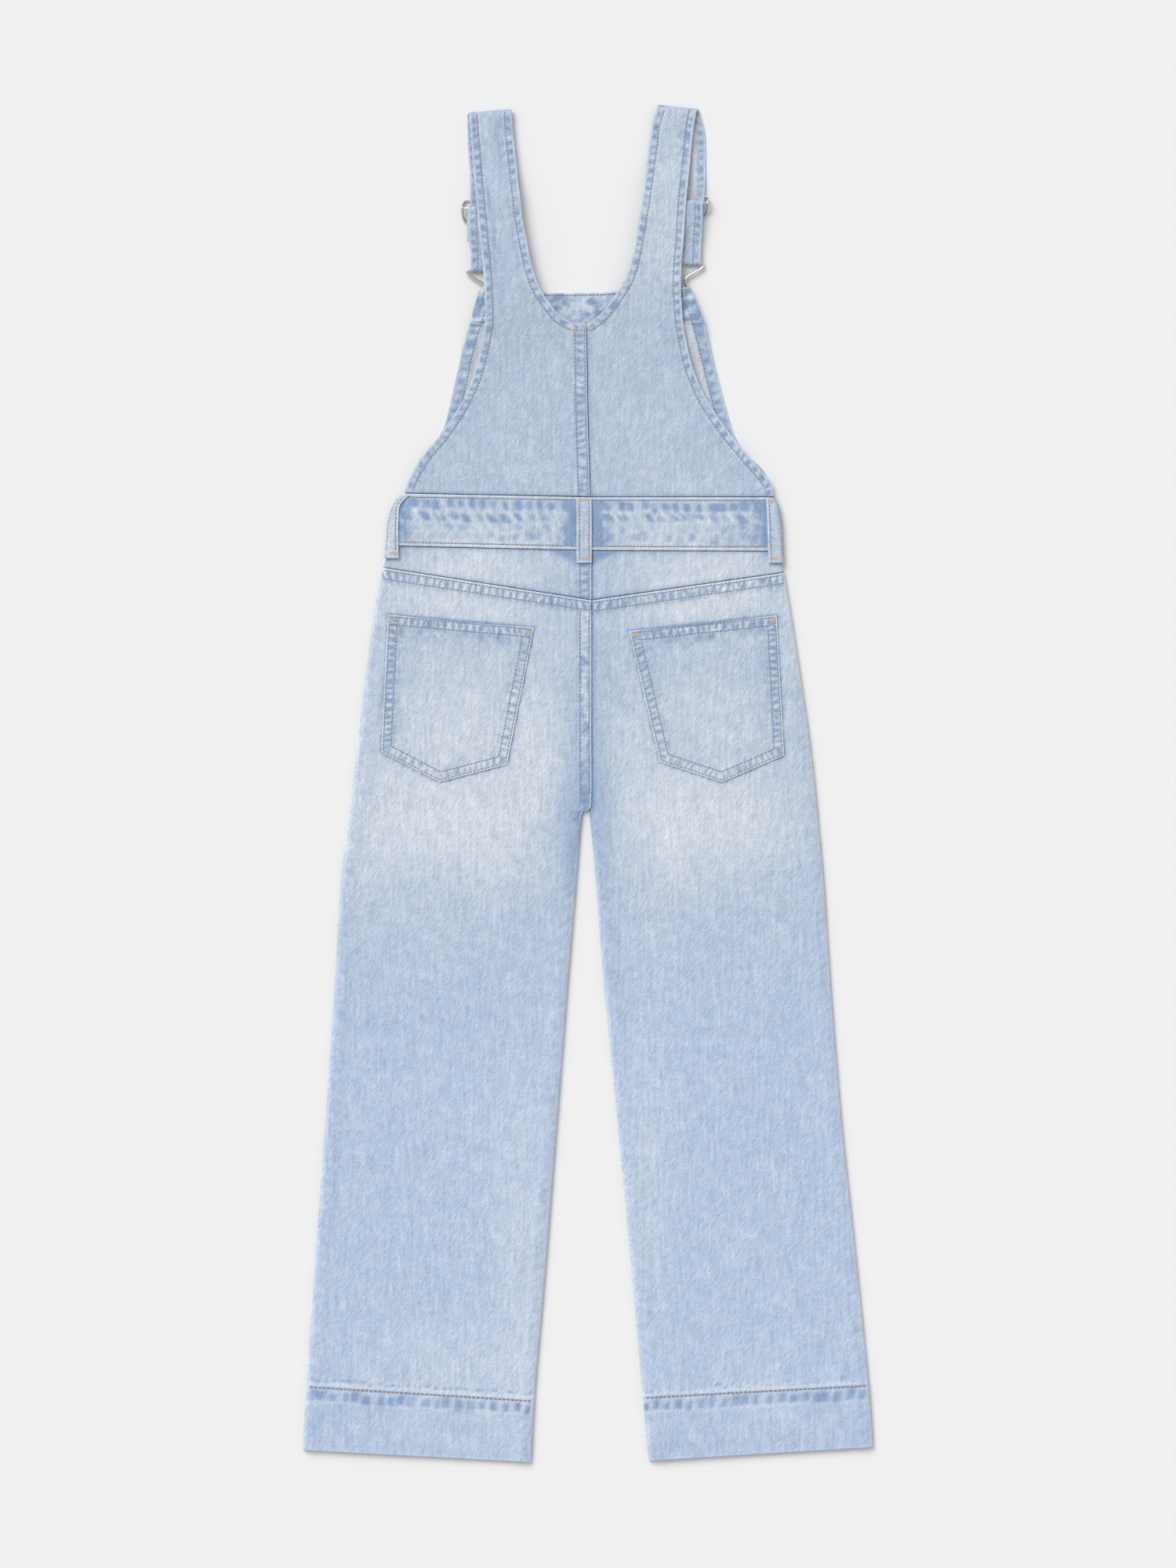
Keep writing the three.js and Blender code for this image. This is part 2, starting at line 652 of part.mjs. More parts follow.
// The side loops wrap over the rolled edge of the band: a row for each section, with the edge
// of the garment and the inner edge of the loop
const loopSection = [[0.8, 2.8], [0.8, 4.4], [-0.4, 6.0], [-3.5, onBand + 0.1]];
function sideLoop(rows, sign) {
  const outer = [];
  const inner = [];
  rows.forEach(({ edgeX, innerX, y }) => {
    const line = loopSection.map(([out, z]) => new THREE.Vector3(edgeX + sign * out, y, z));
    line.push(new THREE.Vector3(innerX, y, onBand + 0.1));
    inner.push(line);
    outer.push(line.map((point, k) => {
      const before = line[Math.max(0, k - 1)];
      const after = line[Math.min(line.length - 1, k + 1)];
      const along = after.clone().sub(before);
      const away = new THREE.Vector3(sign * Math.abs(along.z), 0, Math.abs(along.x)).normalize();
      return point.clone().addScaledVector(away, loopCloth);
    }));
  });
  return closedWall(outer, inner);
}
add('loop_left', sideLoop(named('edgeX innerX y', [
  [-148.4, -143.4, 231.6],
  [-154.2, -150.6, 223.7],
  [-158.5, -151.9, 211.1],
  [-159.9, -152.0, 194.0],
  [-161.6, -151.8, 181.0],
]), -1), cloth);
add('loop_right', sideLoop(named('edgeX innerX y', [
  [148.8, 142.6, 228.9],
  [151.6, 143.2, 221.1],
  [153.4, 143.8, 209.8],
  [154.5, 144.3, 190.0],
  [155.6, 145.0, 177.2],
]), 1), cloth);

// Metal: a wire bent into a closed ring
function ringTube(points, radius, segments, around) {
  const curve = new THREE.CatmullRomCurve3(points, true, 'centripetal');
  const frames = curve.computeFrenetFrames(segments, true);
  const positions = [];
  const faces = [];
  for (let i = 0; i < segments; i += 1) {
    const centre = curve.getPointAt(i / segments);
    for (let k = 0; k < around; k += 1) {
      const angle = 2 * Math.PI * k / around;
      const point = centre.clone()
        .addScaledVector(frames.normals[i], radius * Math.cos(angle))
        .addScaledVector(frames.binormals[i], radius * Math.sin(angle));
      positions.push(point.x, point.y, point.z);
      const a = i * around + k;
      const b = i * around + (k + 1) % around;
      const c = ((i + 1) % segments) * around + (k + 1) % around;
      const d = ((i + 1) % segments) * around + k;
      faces.push(a, b, c, a, c, d);
    }
  }
  return outward(positions, faces);
}

const wasm = await Module();
wasm.setup();

function solid(geometry) {
  const plain = geometry.clone();
  plain.deleteAttribute('normal');
  plain.deleteAttribute('uv');
  const merged = mergeVertices(plain, 1e-4);
  return new wasm.Manifold(new wasm.Mesh({
    numProp: 3,
    vertProperties: new Float32Array(merged.attributes.position.array),
    triVerts: new Uint32Array(merged.index.array),
  }));
}

function fromSolid(manifold) {
  const mesh = manifold.getMesh();
  const positions = new Float32Array(mesh.vertProperties);
  const geometry = new THREE.BufferGeometry();
  geometry.setAttribute('position', new THREE.BufferAttribute(positions, 3));
  geometry.setIndex(new THREE.BufferAttribute(new Uint32Array(mesh.triVerts), 1));
  return geometry;
}

// A row for each bend of half the clip's wire, from the top bar down to the end of the eye
const eyeCentre = -23;
const eyeRadius = 9.2;
const eyeHeight = 3.4;
const clipBends = named('x y z', [
  [10, 0, 2.9],
  [17.7, -0.1, 2.9],
  [19.3, -0.9, 2.9],
  [19.6, -2.8, 2.9],
  [17.6, -4.9, 3.0],
  [12, -8.8, 3.1],
  [7.5, -11.9, 3.3],
  [6.3, -13.8, 3.4],
]);
function clip(holder) {
  const half = clipBends.map(({ x, y, z }) => new THREE.Vector3(x, y, z));
  [40, 18, -6, -30, -55].forEach((degrees) => {
    const angle = THREE.MathUtils.degToRad(degrees);
    half.push(new THREE.Vector3(
      eyeRadius * Math.cos(angle), eyeCentre + eyeRadius * Math.sin(angle), eyeHeight));
  });
  const mirrored = half.map(({ x, y, z }) => new THREE.Vector3(-x, y, z)).reverse();
  const end = new THREE.Vector3(0, eyeCentre - eyeRadius, eyeHeight);
  const geometry = ringTube([...half, end, ...mirrored], wireRadius, 64, 6);
  return geometry.rotateZ(clipSpin(holder)).translate(...holder.bar, 0);
}

// A row for each bend of a quarter of the slider's frame
const sliderBends = named('x y z', [
  [10, 6.4, 1.0],
  [19.2, 6.4, 1.0],
  [21.2, 4.6, 2.2],
  [21.9, 1.8, 5.2],
]);
const sliderLow = -10.4;
function slider({ middle }) {
  const upper = sliderBends.map(({ x, y, z }) => new THREE.Vector3(x, y, z));
  const lower = sliderBends.map(({ x, y, z }) =>
    new THREE.Vector3(x, y * sliderLow / sliderBends[0].y, z)).reverse();
  const half = [...upper, ...lower];
  const mirrored = half.map(({ x, y, z }) => new THREE.Vector3(-x, y, z)).reverse();
  const frame = ringTube([...half, ...mirrored], sliderWire, 48, 6);
  const barHeight = (sliderLower + sliderUpper) / 2;
  const bar = new THREE.CylinderGeometry(sliderWire, sliderWire, 2 * sliderBarHalf, 8);
  bar.rotateZ(Math.PI / 2).translate(0, 0, barHeight);
  let joined = solid(frame).add(solid(bar));
  for (const side of [-1, 1]) {
    const head = new THREE.CylinderGeometry(rivetRadius, rivetRadius, rivetLength, 10);
    head.rotateZ(Math.PI / 2).translate(side * (sliderBarHalf - 1), 0, barHeight - 0.1);
    joined = joined.add(solid(head));
  }
  return fromSolid(joined).translate(...middle, 0);
}

// A domed head below, with a shank up to the bib
function button(holder) {
  const profile = [
    [0, 0], [6.5, 0], [8.3, 0.5], [buttonHeadRadius, 1.2], [8.6, buttonHeadHeight],
    [buttonShankRadius, buttonHeadHeight], [buttonShankRadius, buttonShankTop], [0, buttonShankTop],
  ].map(([radius, z]) => new THREE.Vector2(radius, z));
  const turned = new THREE.LatheGeometry(profile, 20).rotateX(Math.PI / 2);
  const [x, y] = buttonPlace(holder);
  return fromSolid(solid(turned)).translate(x, y, 0);
}

for (const [side, holder] of Object.entries(holders)) {
  add(`slider_${side}`, slider(holder), metal);
  add(`clip_${side}`, clip(holder), metal);
  add(`button_${side}`, button(holder), metal);
}

export default group;
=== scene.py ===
import math

import bpy
import numpy as np
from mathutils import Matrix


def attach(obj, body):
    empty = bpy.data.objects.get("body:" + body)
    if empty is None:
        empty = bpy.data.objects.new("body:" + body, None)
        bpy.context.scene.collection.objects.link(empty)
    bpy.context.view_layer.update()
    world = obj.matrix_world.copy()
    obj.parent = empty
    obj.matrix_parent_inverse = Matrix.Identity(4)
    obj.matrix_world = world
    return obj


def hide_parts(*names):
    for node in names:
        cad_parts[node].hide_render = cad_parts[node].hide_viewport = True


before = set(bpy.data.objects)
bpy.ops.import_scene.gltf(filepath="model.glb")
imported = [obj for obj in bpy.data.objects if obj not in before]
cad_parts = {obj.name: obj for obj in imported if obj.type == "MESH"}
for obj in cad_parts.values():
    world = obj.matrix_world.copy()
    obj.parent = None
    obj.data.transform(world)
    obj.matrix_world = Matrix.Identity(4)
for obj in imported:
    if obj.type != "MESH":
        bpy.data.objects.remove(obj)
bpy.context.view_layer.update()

# Sizes are in millimetres until a mesh is made.
MM = 0.001

# Cloth thicknesses and heights above the surface
DENIM = 1.2
STRAP = 1.2
BAND = 2.3
LOOP = 1.2
POCKET = 0.85
BACK_UNDER = 3.7
FRONT_BAND = 1.7
LAID_GAP = 0.12

# Turned and felled margins
FELLED_WIDTH = 11.3
FELLED_RISE = 0.65
YOKE_SEAM_WIDTH = 9.5
LEG_HEM = 50.0
LEG_HEM_RISE = 0.45
BIB_HEM = 29.0
SIDE_HEM = 10.7
STRAP_HEM = 6.2
POCKET_HEM = 8.5
ROLL = 4.0
SWELL = 16.0
CROTCH_Y = -22.0

# Sewing
PITCH = 3.0
THREAD_RADIUS = 0.42
TACK_RADIUS = 0.3
TACK_LIFT = 0.12


def rows(names, values):
    """A table with named columns, as one array for each column."""
    return dict(zip(names.split(), np.array(values, float).T))


# Outlines: a row for each section of a panel, from its top edge down.
SIDES = "left_x left_y right_x right_y"
BELOW_CROTCH_LEFT = [
    (-191.8, -27.1, -5.5, -30.2),
    (-198.1, -74.3, -9.3, -75.6),
    (-202.9, -151.2, -15.8, -153.1),
    (-210.4, -264.6, -24.9, -269.6),
    (-218.6, -378.0, -34.0, -385.6),
    (-225.9, -483.8, -43.3, -495.5),
    (-229.3, -534.4, -45.8, -544.3),
]
BELOW_CROTCH_RIGHT = [
    (2.0, -30.2, 184.6, -28.4),
    (6.2, -75.6, 189.0, -75.6),
    (12.2, -153.1, 194.0, -151.2),
    (23.6, -269.6, 202.9, -264.6),
    (34.5, -385.6, 214.8, -378.0),
    (44.4, -496.4, 225.7, -486.4),
    (48.6, -543.0, 228.9, -532.0),
]
BACK_LEG_LEFT = rows(SIDES, [
    (-164.7, 173.6, 2.9, 147.4),
    (-170.1, 148.1, 2.9, 122.8),
    (-177.7, 94.5, 2.9, 75.6),
    (-183.3, 47.2, 2.9, 31.5),
    (-189.0, -1.9, 2.9, -10.7),
    (-190.3, -13.9, 2.0, -19.8),
    (-190.9, -18.9, -4.4, -22.4),
    *BELOW_CROTCH_LEFT,
])
BACK_LEG_RIGHT = rows(SIDES, [
    (3.3, 147.4, 157.2, 169.5),
    (3.3, 122.8, 161.3, 146.2),
    (3.3, 75.6, 168.8, 97.7),
    (3.3, 31.5, 175.1, 55.4),
    (3.3, -10.7, 181.1, 9.4),
    (2.9, -18.3, 183.3, -13.9),
    (1.5, -22.4, 184.0, -20.2),
    *BELOW_CROTCH_RIGHT,
])
FRONT_LEG_LEFT = rows(SIDES, [
    (-159.9, 190.8, -0.3, 187.1),
    (-164.6, 174.0, -0.3, 170.5),
    (-170.1, 148.1, -0.3, 142.3),
    (-177.7, 94.5, -0.3, 88.9),
    (-183.3, 47.2, -0.3, 37.8),
    (-189.0, -1.9, -0.3, -9.4),
    (-190.3, -13.9, -1.0, -18.9),
    *BELOW_CROTCH_LEFT,
])
FRONT_LEG_RIGHT = rows(SIDES, [
    (0.1, 187.1, 154.4, 186.5),
    (0.1, 170.2, 157.1, 170.0),
    (0.1, 142.3, 161.3, 146.2),
    (0.1, 88.9, 168.8, 97.7),
    (0.1, 37.8, 175.1, 55.4),
    (0.1, -9.4, 181.1, 9.4),
    (0.6, -18.9, 183.3, -13.9),
    *BELOW_CROTCH_RIGHT,
])
YOKE_LEFT = rows(SIDES, [
    (-159.9, 190.8, 2.9, 187.1),
    (-161.4, 180.0, 2.9, 167.0),
    (-164.6, 174.0, 2.9, 147.9),
])
YOKE_RIGHT = rows(SIDES, [
    (3.3, 187.1, 154.4, 186.5),
    (3.3, 167.0, 155.3, 178.5),
    (3.3, 147.9, 157.1, 170.0),
])
FRONT_BIB = rows(SIDES, [
    (-87.9, 395.3, 81.6, 398.8),
    (-94.5, 370.4, 92.3, 372.3),
    (-98.9, 356.6, 97.0, 355.3),
    (-105.2, 330.8, 103.3, 330.8),
    (-111.5, 302.4, 110.6, 302.4),
    (-116.5, 285.4, 117.8, 279.7),
    (-126.6, 270.3, 126.6, 265.9),
    (-138.6, 251.4, 141.1, 251.4),
    (-146.8, 233.7, 149.9, 230.7),
])

# Bands and pockets have a corner in the middle of each row.
BENT = "left_x left_y middle_x middle_y right_x right_y"
BACK_BAND = rows(BENT, [
    (-148.0, 233.1, 1.9, 230.1, 148.6, 230.1),
    (-154.1, 223.7, 2.2, 221.6, 151.5, 221.1),
    (-158.4, 211.1, 2.6, 209.6, 153.3, 209.8),
    (-159.9, 191.3, 3.0, 187.5, 154.2, 186.9),
])
FRONT_BAND_ROWS = rows(BENT, [
    (-148.0, 233.1, 1.9, 231.7, 148.6, 230.3),
    (-154.1, 223.7, 2.2, 221.9, 151.5, 221.1),
    (-158.4, 211.1, 2.6, 209.9, 153.3, 209.8),
    (-159.9, 191.3, 0.0, 187.5, 154.2, 186.9),
])
POCKET_LEFT = rows(BENT, [
    (-160.7, 136.1, -101.7, 129.6, -43.2, 125.6),
    (-163.4, 80.9, -110.4, 65.5, -54.0, 70.6),
    (-166.1, 25.8, -119.1, 1.4, -64.9, 15.6),
])
POCKET_RIGHT = rows(BENT, [
    (32.9, 122.8, 85.3, 126.6, 151.6, 135.5),
    (45.2, 70.2, 96.4, 64.0, 154.5, 79.2),
    (57.6, 17.6, 107.6, 1.4, 157.4, 22.9),
])

# Bib halves with their straps: a row for each section, with the height of the middle of the
# cloth. The back runs go up from the waistband, the front runs down beneath from the fold.
STRIP = "left_x left_y left_z right_x right_y right_z"
BACK_RUN_LEFT = [
    (-147.4, 233.6, 4.9, 1.6, 230.6, 4.9),
    (-144.6, 241.9, 4.9, 1.4, 241.3, 4.9),
    (-134.4, 261.1, 4.7, 0.8, 261.4, 4.6),
    (-116.7, 283.0, 4.6, 0.1, 284.8, 4.5),
    (-98.9, 311.2, 4.8, -0.5, 311.9, 4.5),
    (-90.1, 333.9, 5.8, -0.9, 338.9, 4.6),
    (-84.3, 358.2, 7.2, -1.3, 360.4, 4.9),
    (-82.9, 367.2, 8.1, -1.6, 368.2, 5.0),
    (-82.8, 368.2, 8.2, -1.7, 369.5, 5.0),
    (-82.7, 369.2, 8.3, -2.9, 369.9, 5.1),
    (-82.4, 374.9, 8.8, -12.0, 370.3, 5.8),
    (-82.5, 383.0, 9.3, -22.5, 376.0, 6.8),
    (-83.0, 391.9, 9.4, -31.3, 386.3, 8.0),
    (-83.5, 403.2, 9.3, -38.9, 398.2, 9.0),
    (-84.4, 415.8, 9.3, -44.1, 412.6, 9.3),
    (-86.6, 437.9, 9.6, -49.5, 437.9, 9.6),
    (-88.5, 456.8, 9.9, -52.9, 456.8, 9.9),
    (-89.8, 470.0, 9.8, -54.2, 470.0, 9.8),
    (-90.9, 481.9, 8.0, -55.8, 481.9, 8.0),
    (-92.0, 493.3, 5.7, -56.7, 493.3, 5.7),
    (-93.2, 510.3, 4.9, -58.6, 510.3, 4.9),
    (-94.8, 529.2, 4.85, -60.5, 529.2, 4.85),
    (-95.4, 537.0, 4.85, -60.9, 540.0, 4.85),
]
BACK_RUN_RIGHT = [
    (2.1, 230.5, 4.9, 148.9, 230.6, 4.9),
    (1.9, 241.3, 4.9, 147.2, 240.3, 4.9),
    (1.3, 261.4, 4.6, 131.0, 260.8, 4.7),
    (0.6, 284.8, 4.5, 114.2, 280.9, 4.6),
    (0.0, 311.9, 4.5, 93.9, 311.2, 4.8),
    (-0.4, 338.9, 4.6, 83.8, 335.2, 5.8),
    (-0.8, 360.4, 4.9, 78.4, 358.5, 7.2),
    (-1.1, 368.2, 5.0, 76.7, 367.8, 8.1),
    (-1.0, 369.4, 5.0, 76.6, 368.6, 8.2),
    (0.2, 369.9, 5.1, 76.5, 369.5, 8.3),
    (5.0, 372.5, 5.8, 75.9, 374.9, 8.8),
    (12.3, 379.4, 6.9, 75.3, 383.0, 9.3),
    (19.5, 388.7, 8.0, 74.7, 391.9, 9.4),
    (26.8, 399.4, 9.0, 74.5, 403.2, 9.3),
    (32.8, 412.6, 9.3, 75.0, 415.8, 9.3),
    (38.1, 437.9, 9.6, 76.9, 439.1, 9.6),
    (41.5, 458.6, 9.9, 78.1, 458.6, 9.9),
    (44.1, 474.4, 9.8, 79.4, 474.4, 9.8),
    (45.7, 485.7, 8.0, 80.6, 485.7, 8.0),
    (47.2, 497.7, 5.7, 81.9, 497.7, 5.7),
    (49.5, 515.3, 4.9, 83.5, 515.3, 4.9),
    (51.7, 531.1, 4.85, 85.4, 530.5, 4.85),
    (55.6, 543.5, 4.85, 87.4, 540.0, 4.85),
]
FRONT_RUN_LEFT = [
    (-97.2, 535.4, 0.85, -62.4, 538.4, 0.85),
    (-96.4, 510.3, 0.85, -61.7, 510.3, 0.85),
    (-95.1, 490.1, 1.3, -60.5, 490.1, 1.3),
    (-94.5, 475.0, 2.8, -59.9, 475.0, 2.8),
    (-94.5, 462.1, 2.9, -59.9, 462.1, 2.9),
    (-94.5, 449.0, 2.9, -59.9, 449.0, 2.9),
    (-94.5, 436.0, 1.8, -59.9, 436.0, 1.8),
    (-94.4, 423.4, 0.9, -59.7, 423.4, 0.9),
]
FRONT_RUN_RIGHT = [
    (57.2, 542.3, 0.85, 90.2, 538.4, 0.85),
    (58.9, 528.0, 0.85, 93.6, 525.0, 0.85),
    (59.9, 512.3, 0.85, 94.5, 512.3, 0.85),
    (59.9, 492.1, 1.3, 94.5, 492.1, 1.3),
    (59.4, 478.0, 2.8, 94.0, 478.0, 2.8),
    (58.8, 465.9, 2.9, 93.4, 465.9, 2.9),
    (57.8, 452.0, 2.9, 92.4, 452.0, 2.9),
    (56.6, 439.0, 1.8, 91.2, 439.0, 1.8),
    (55.7, 429.4, 0.9, 90.4, 429.4, 0.9),
]

# What a strap carries: the clip's top bar and its turn, the slider's middle bar, how far the
# strap shifts on its way up to it, and how far its sewn-down end stands out beside it
HOLDERS = {
    "left": {"bar": (-77.4, 413.6), "turn": 1.6, "middle": (-78.8, 461.6), "shift": -1.4, "peek": -1.3},
    "right": {"bar": (72.8, 419.4), "turn": -4.0, "middle": (74.3, 465.9), "shift": 1.5, "peek": 0.0},
}
FLAP = 26.0
STRAP_HALF = 17.3
CLIP_LOWER, CLIP_UPPER = 0.9, 4.9
SLIDER_LOWER, SLIDER_UPPER = 4.4, 8.2
CLIP_REACH = 28.0

# Worn pale and left dark: soft patches of the wash
FADES = rows("x y across along strength", [
    (-98, 160, 64, 38, 0.60),
    (94, 156, 70, 40, 0.58),
    (174, 118, 16, 44, 0.30),
    (-172, 150, 14, 40, 0.14),
    (-104, 58, 60, 62, 0.34),
    (98, 48, 54, 60, 0.30),
    (-40, 44, 24, 62, 0.34),
    (34, 2, 22, 44, 0.30),
    (-100, -32, 72, 50, 0.62),
    (-176, -24, 28, 70, 0.26),
    (114, -34, 52, 44, 0.52),
    (66, -40, 20, 60, 0.34),
    (-120, -330, 34, 190, 0.04),
    (-56, -400, 26, 140, 0.26),
    (-112, -470, 64, 34, 0.24),
    (46, -330, 20, 170, 0.24),
    (135, -445, 52, 36, 0.06),
    # The next two dark patches, along the middle down to the crotch, are partly the wash and partly
    # painted shade of the crotch.
    (-2, 6, 15, 56, -0.58),
    (-8, -26, 20, 30, -0.56),
    (-6, 166, 34, 22, -0.22),
    (-38, 128, 22, 24, -0.16),
    (80, 100, 40, 14, -0.14),
    (76, 26, 26, 26, -0.16),
    (-116, -524, 60, 20, 0.10),
    (128, -504, 60, 34, 0.10),
])

# Creases: a soft trough or ridge along a short line
CREASES = rows("x0 y0 x1 y1 width depth", [
    (69, -205, 161, -214, 4.5, -0.55),
    (75, -196, 150, -203, 5.5, 0.3),
    (-176, -142, -82, -173, 6.5, -0.45),
    (-168, -156, -96, -184, 7, 0.25),
    (-120, -296, -60, -306, 5, -0.4),
    (31, -324, 54, -340, 3.2, -0.5),
    (52, -383, 69, -397, 3.2, -0.45),
    (60, -374, 84, -390, 4, 0.3),
    (25, 22, 52, 7, 3.4, 0.45),
    (30, 12, 50, 0, 3.4, -0.35),
    (50, 4, 82, -80, 7, 0.45),
    (66, -12, 92, -84, 6, -0.3),
    (112, -302, 168, -309, 6, -0.35),
    (92, -345, 160, -352, 6, 0.3),
    (-172, -230, -120, -243, 6, -0.3),
    (-150, -404, -80, -396, 7, -0.25),
    (-60, -60, -24, -34, 4, -0.4),
    (-70, -46, -30, -24, 4, 0.3),
    (16, -60, 44, -40, 4, -0.35),
    (-178, -60, -140, -74, 5, -0.3),
    (150, -92, 178, -84, 5, -0.3),
    (110, -440, 190, -432, 7, -0.25),
])


def ramp(value, low, high):
    """Up from 0 to 1 between two values, softly."""
    t = np.clip((value - low) / (high - low), 0, 1)
    return t * t * (3 - 2 * t)


def fall(value, low, high):
    return 1 - ramp(value, low, high)


def plateau(value, low, risen, falling, high):
    """Up from 0 to 1 between the first two values, and down again between the last two."""
    return ramp(value, low, risen) * fall(value, falling, high)


def bell(value, width):
    """1 where the value is 0, down to 0 at about twice this width."""
    return np.exp(-((value / width) ** 2))


def unit(vectors):
    return vectors / np.maximum(np.linalg.norm(vectors, axis=-1, keepdims=True), 1e-9)


def arc_of(hops):
    """How far along a line its points are, from the steps between them."""
    return np.concatenate([[0], np.cumsum(hops)])


def noise1(x, seed):
    """Smooth random waves between -1 and 1, one for each unit of x."""
    lattice = np.random.default_rng(seed).uniform(-1, 1, 1024)
    cell = np.floor(x).astype(int)
    t = ramp(x - cell, 0, 1)
    return lattice[cell % 1024] * (1 - t) + lattice[(cell + 1) % 1024] * t


def noise2(x, y, seed):
    lattice = np.random.default_rng(seed).uniform(-1, 1, (256, 256))
    i, j = np.floor(x).astype(int), np.floor(y).astype(int)
    s, t = ramp(x - i, 0, 1), ramp(y - j, 0, 1)
    low = lattice[i % 256, j % 256] * (1 - s) + lattice[(i + 1) % 256, j % 256] * s
    high = lattice[i % 256, (j + 1) % 256] * (1 - s) + lattice[(i + 1) % 256, (j + 1) % 256] * s
    return low * (1 - t) + high * t


def wave(x, y):
    """Soft waves over the back of the legs, with the creases."""
    settled = ramp(150 - y, 0, 50)
    height = settled * (0.3 * np.sin(x / 31 + y / 83 + 0.8) + 0.22 * np.sin(y / 47 - x / 60 + 2))
    for x0, y0, x1, y1, width, depth in zip(*CREASES.values()):
        along = np.array([x1 - x0, y1 - y0])
        length = np.hypot(*along)
        across = ((x - x0) * -along[1] + (y - y0) * along[0]) / length
        part = ((x - x0) * along[0] + (y - y0) * along[1]) / length**2
        bend = 0.08 * length * np.sin(math.pi * np.clip(part, 0, 1))
        ends = plateau(part, -0.15, 0.3, 0.7, 1.15)
        height = height + depth * ends * bell(across - bend, width)
    return height


def fade(x, y):
    """How far the wash is worn pale, from below 0 at dark places to 1."""
    value = 0.0 * x
    for cx, cy, across, along, strength in zip(*FADES.values()):
        distance = ((x - cx) / across) ** 2 + ((y - cy) / along) ** 2
        value = value + strength * np.exp(-0.8 * distance)
    return value + 0.07 * noise2(x / 26, y / 40, 7) + 0.05 * noise2(x / 9, y / 15, 8)


def catmull(points, t):
    """Points on a centripetal Catmull-Rom curve through points; t counts them."""
    ends = [2 * points[0] - points[1]], points, [2 * points[-1] - points[-2]]
    padded = np.vstack(ends)
    i = np.clip(t.astype(int), 0, len(points) - 2)
    f = (t - i)[:, None]
    p0, p1, p2, p3 = (padded[i + k] for k in range(4))
    d0, d1, d2 = (
        np.maximum(np.linalg.norm(b - a, axis=1, keepdims=True), 1e-6) ** 0.5
        for a, b in ((p0, p1), (p1, p2), (p2, p3))
    )
    m1 = ((p1 - p0) / d0 - (p2 - p0) / (d0 + d1) + (p2 - p1) / d1) * d1
    m2 = ((p2 - p1) / d1 - (p3 - p1) / (d1 + d2) + (p3 - p2) / d2) * d1
    return (
        p1 + m1 * f
        + (-3 * p1 + 3 * p2 - 2 * m1 - m2) * f**2
        + (2 * p1 - 2 * p2 + m1 + m2) * f**3
    )


def edge_marks(reach, step):
    """Distances from an edge: close together on its round rim, then a step apart."""
    rim = [0.0, 0.08, 0.22, 0.45, 0.8, 1.3]
    count = max(1, round((reach - rim[-1]) / step))
    return np.array(rim + [rim[-1] + (reach - rim[-1]) * (k + 1) / count for k in range(count)])


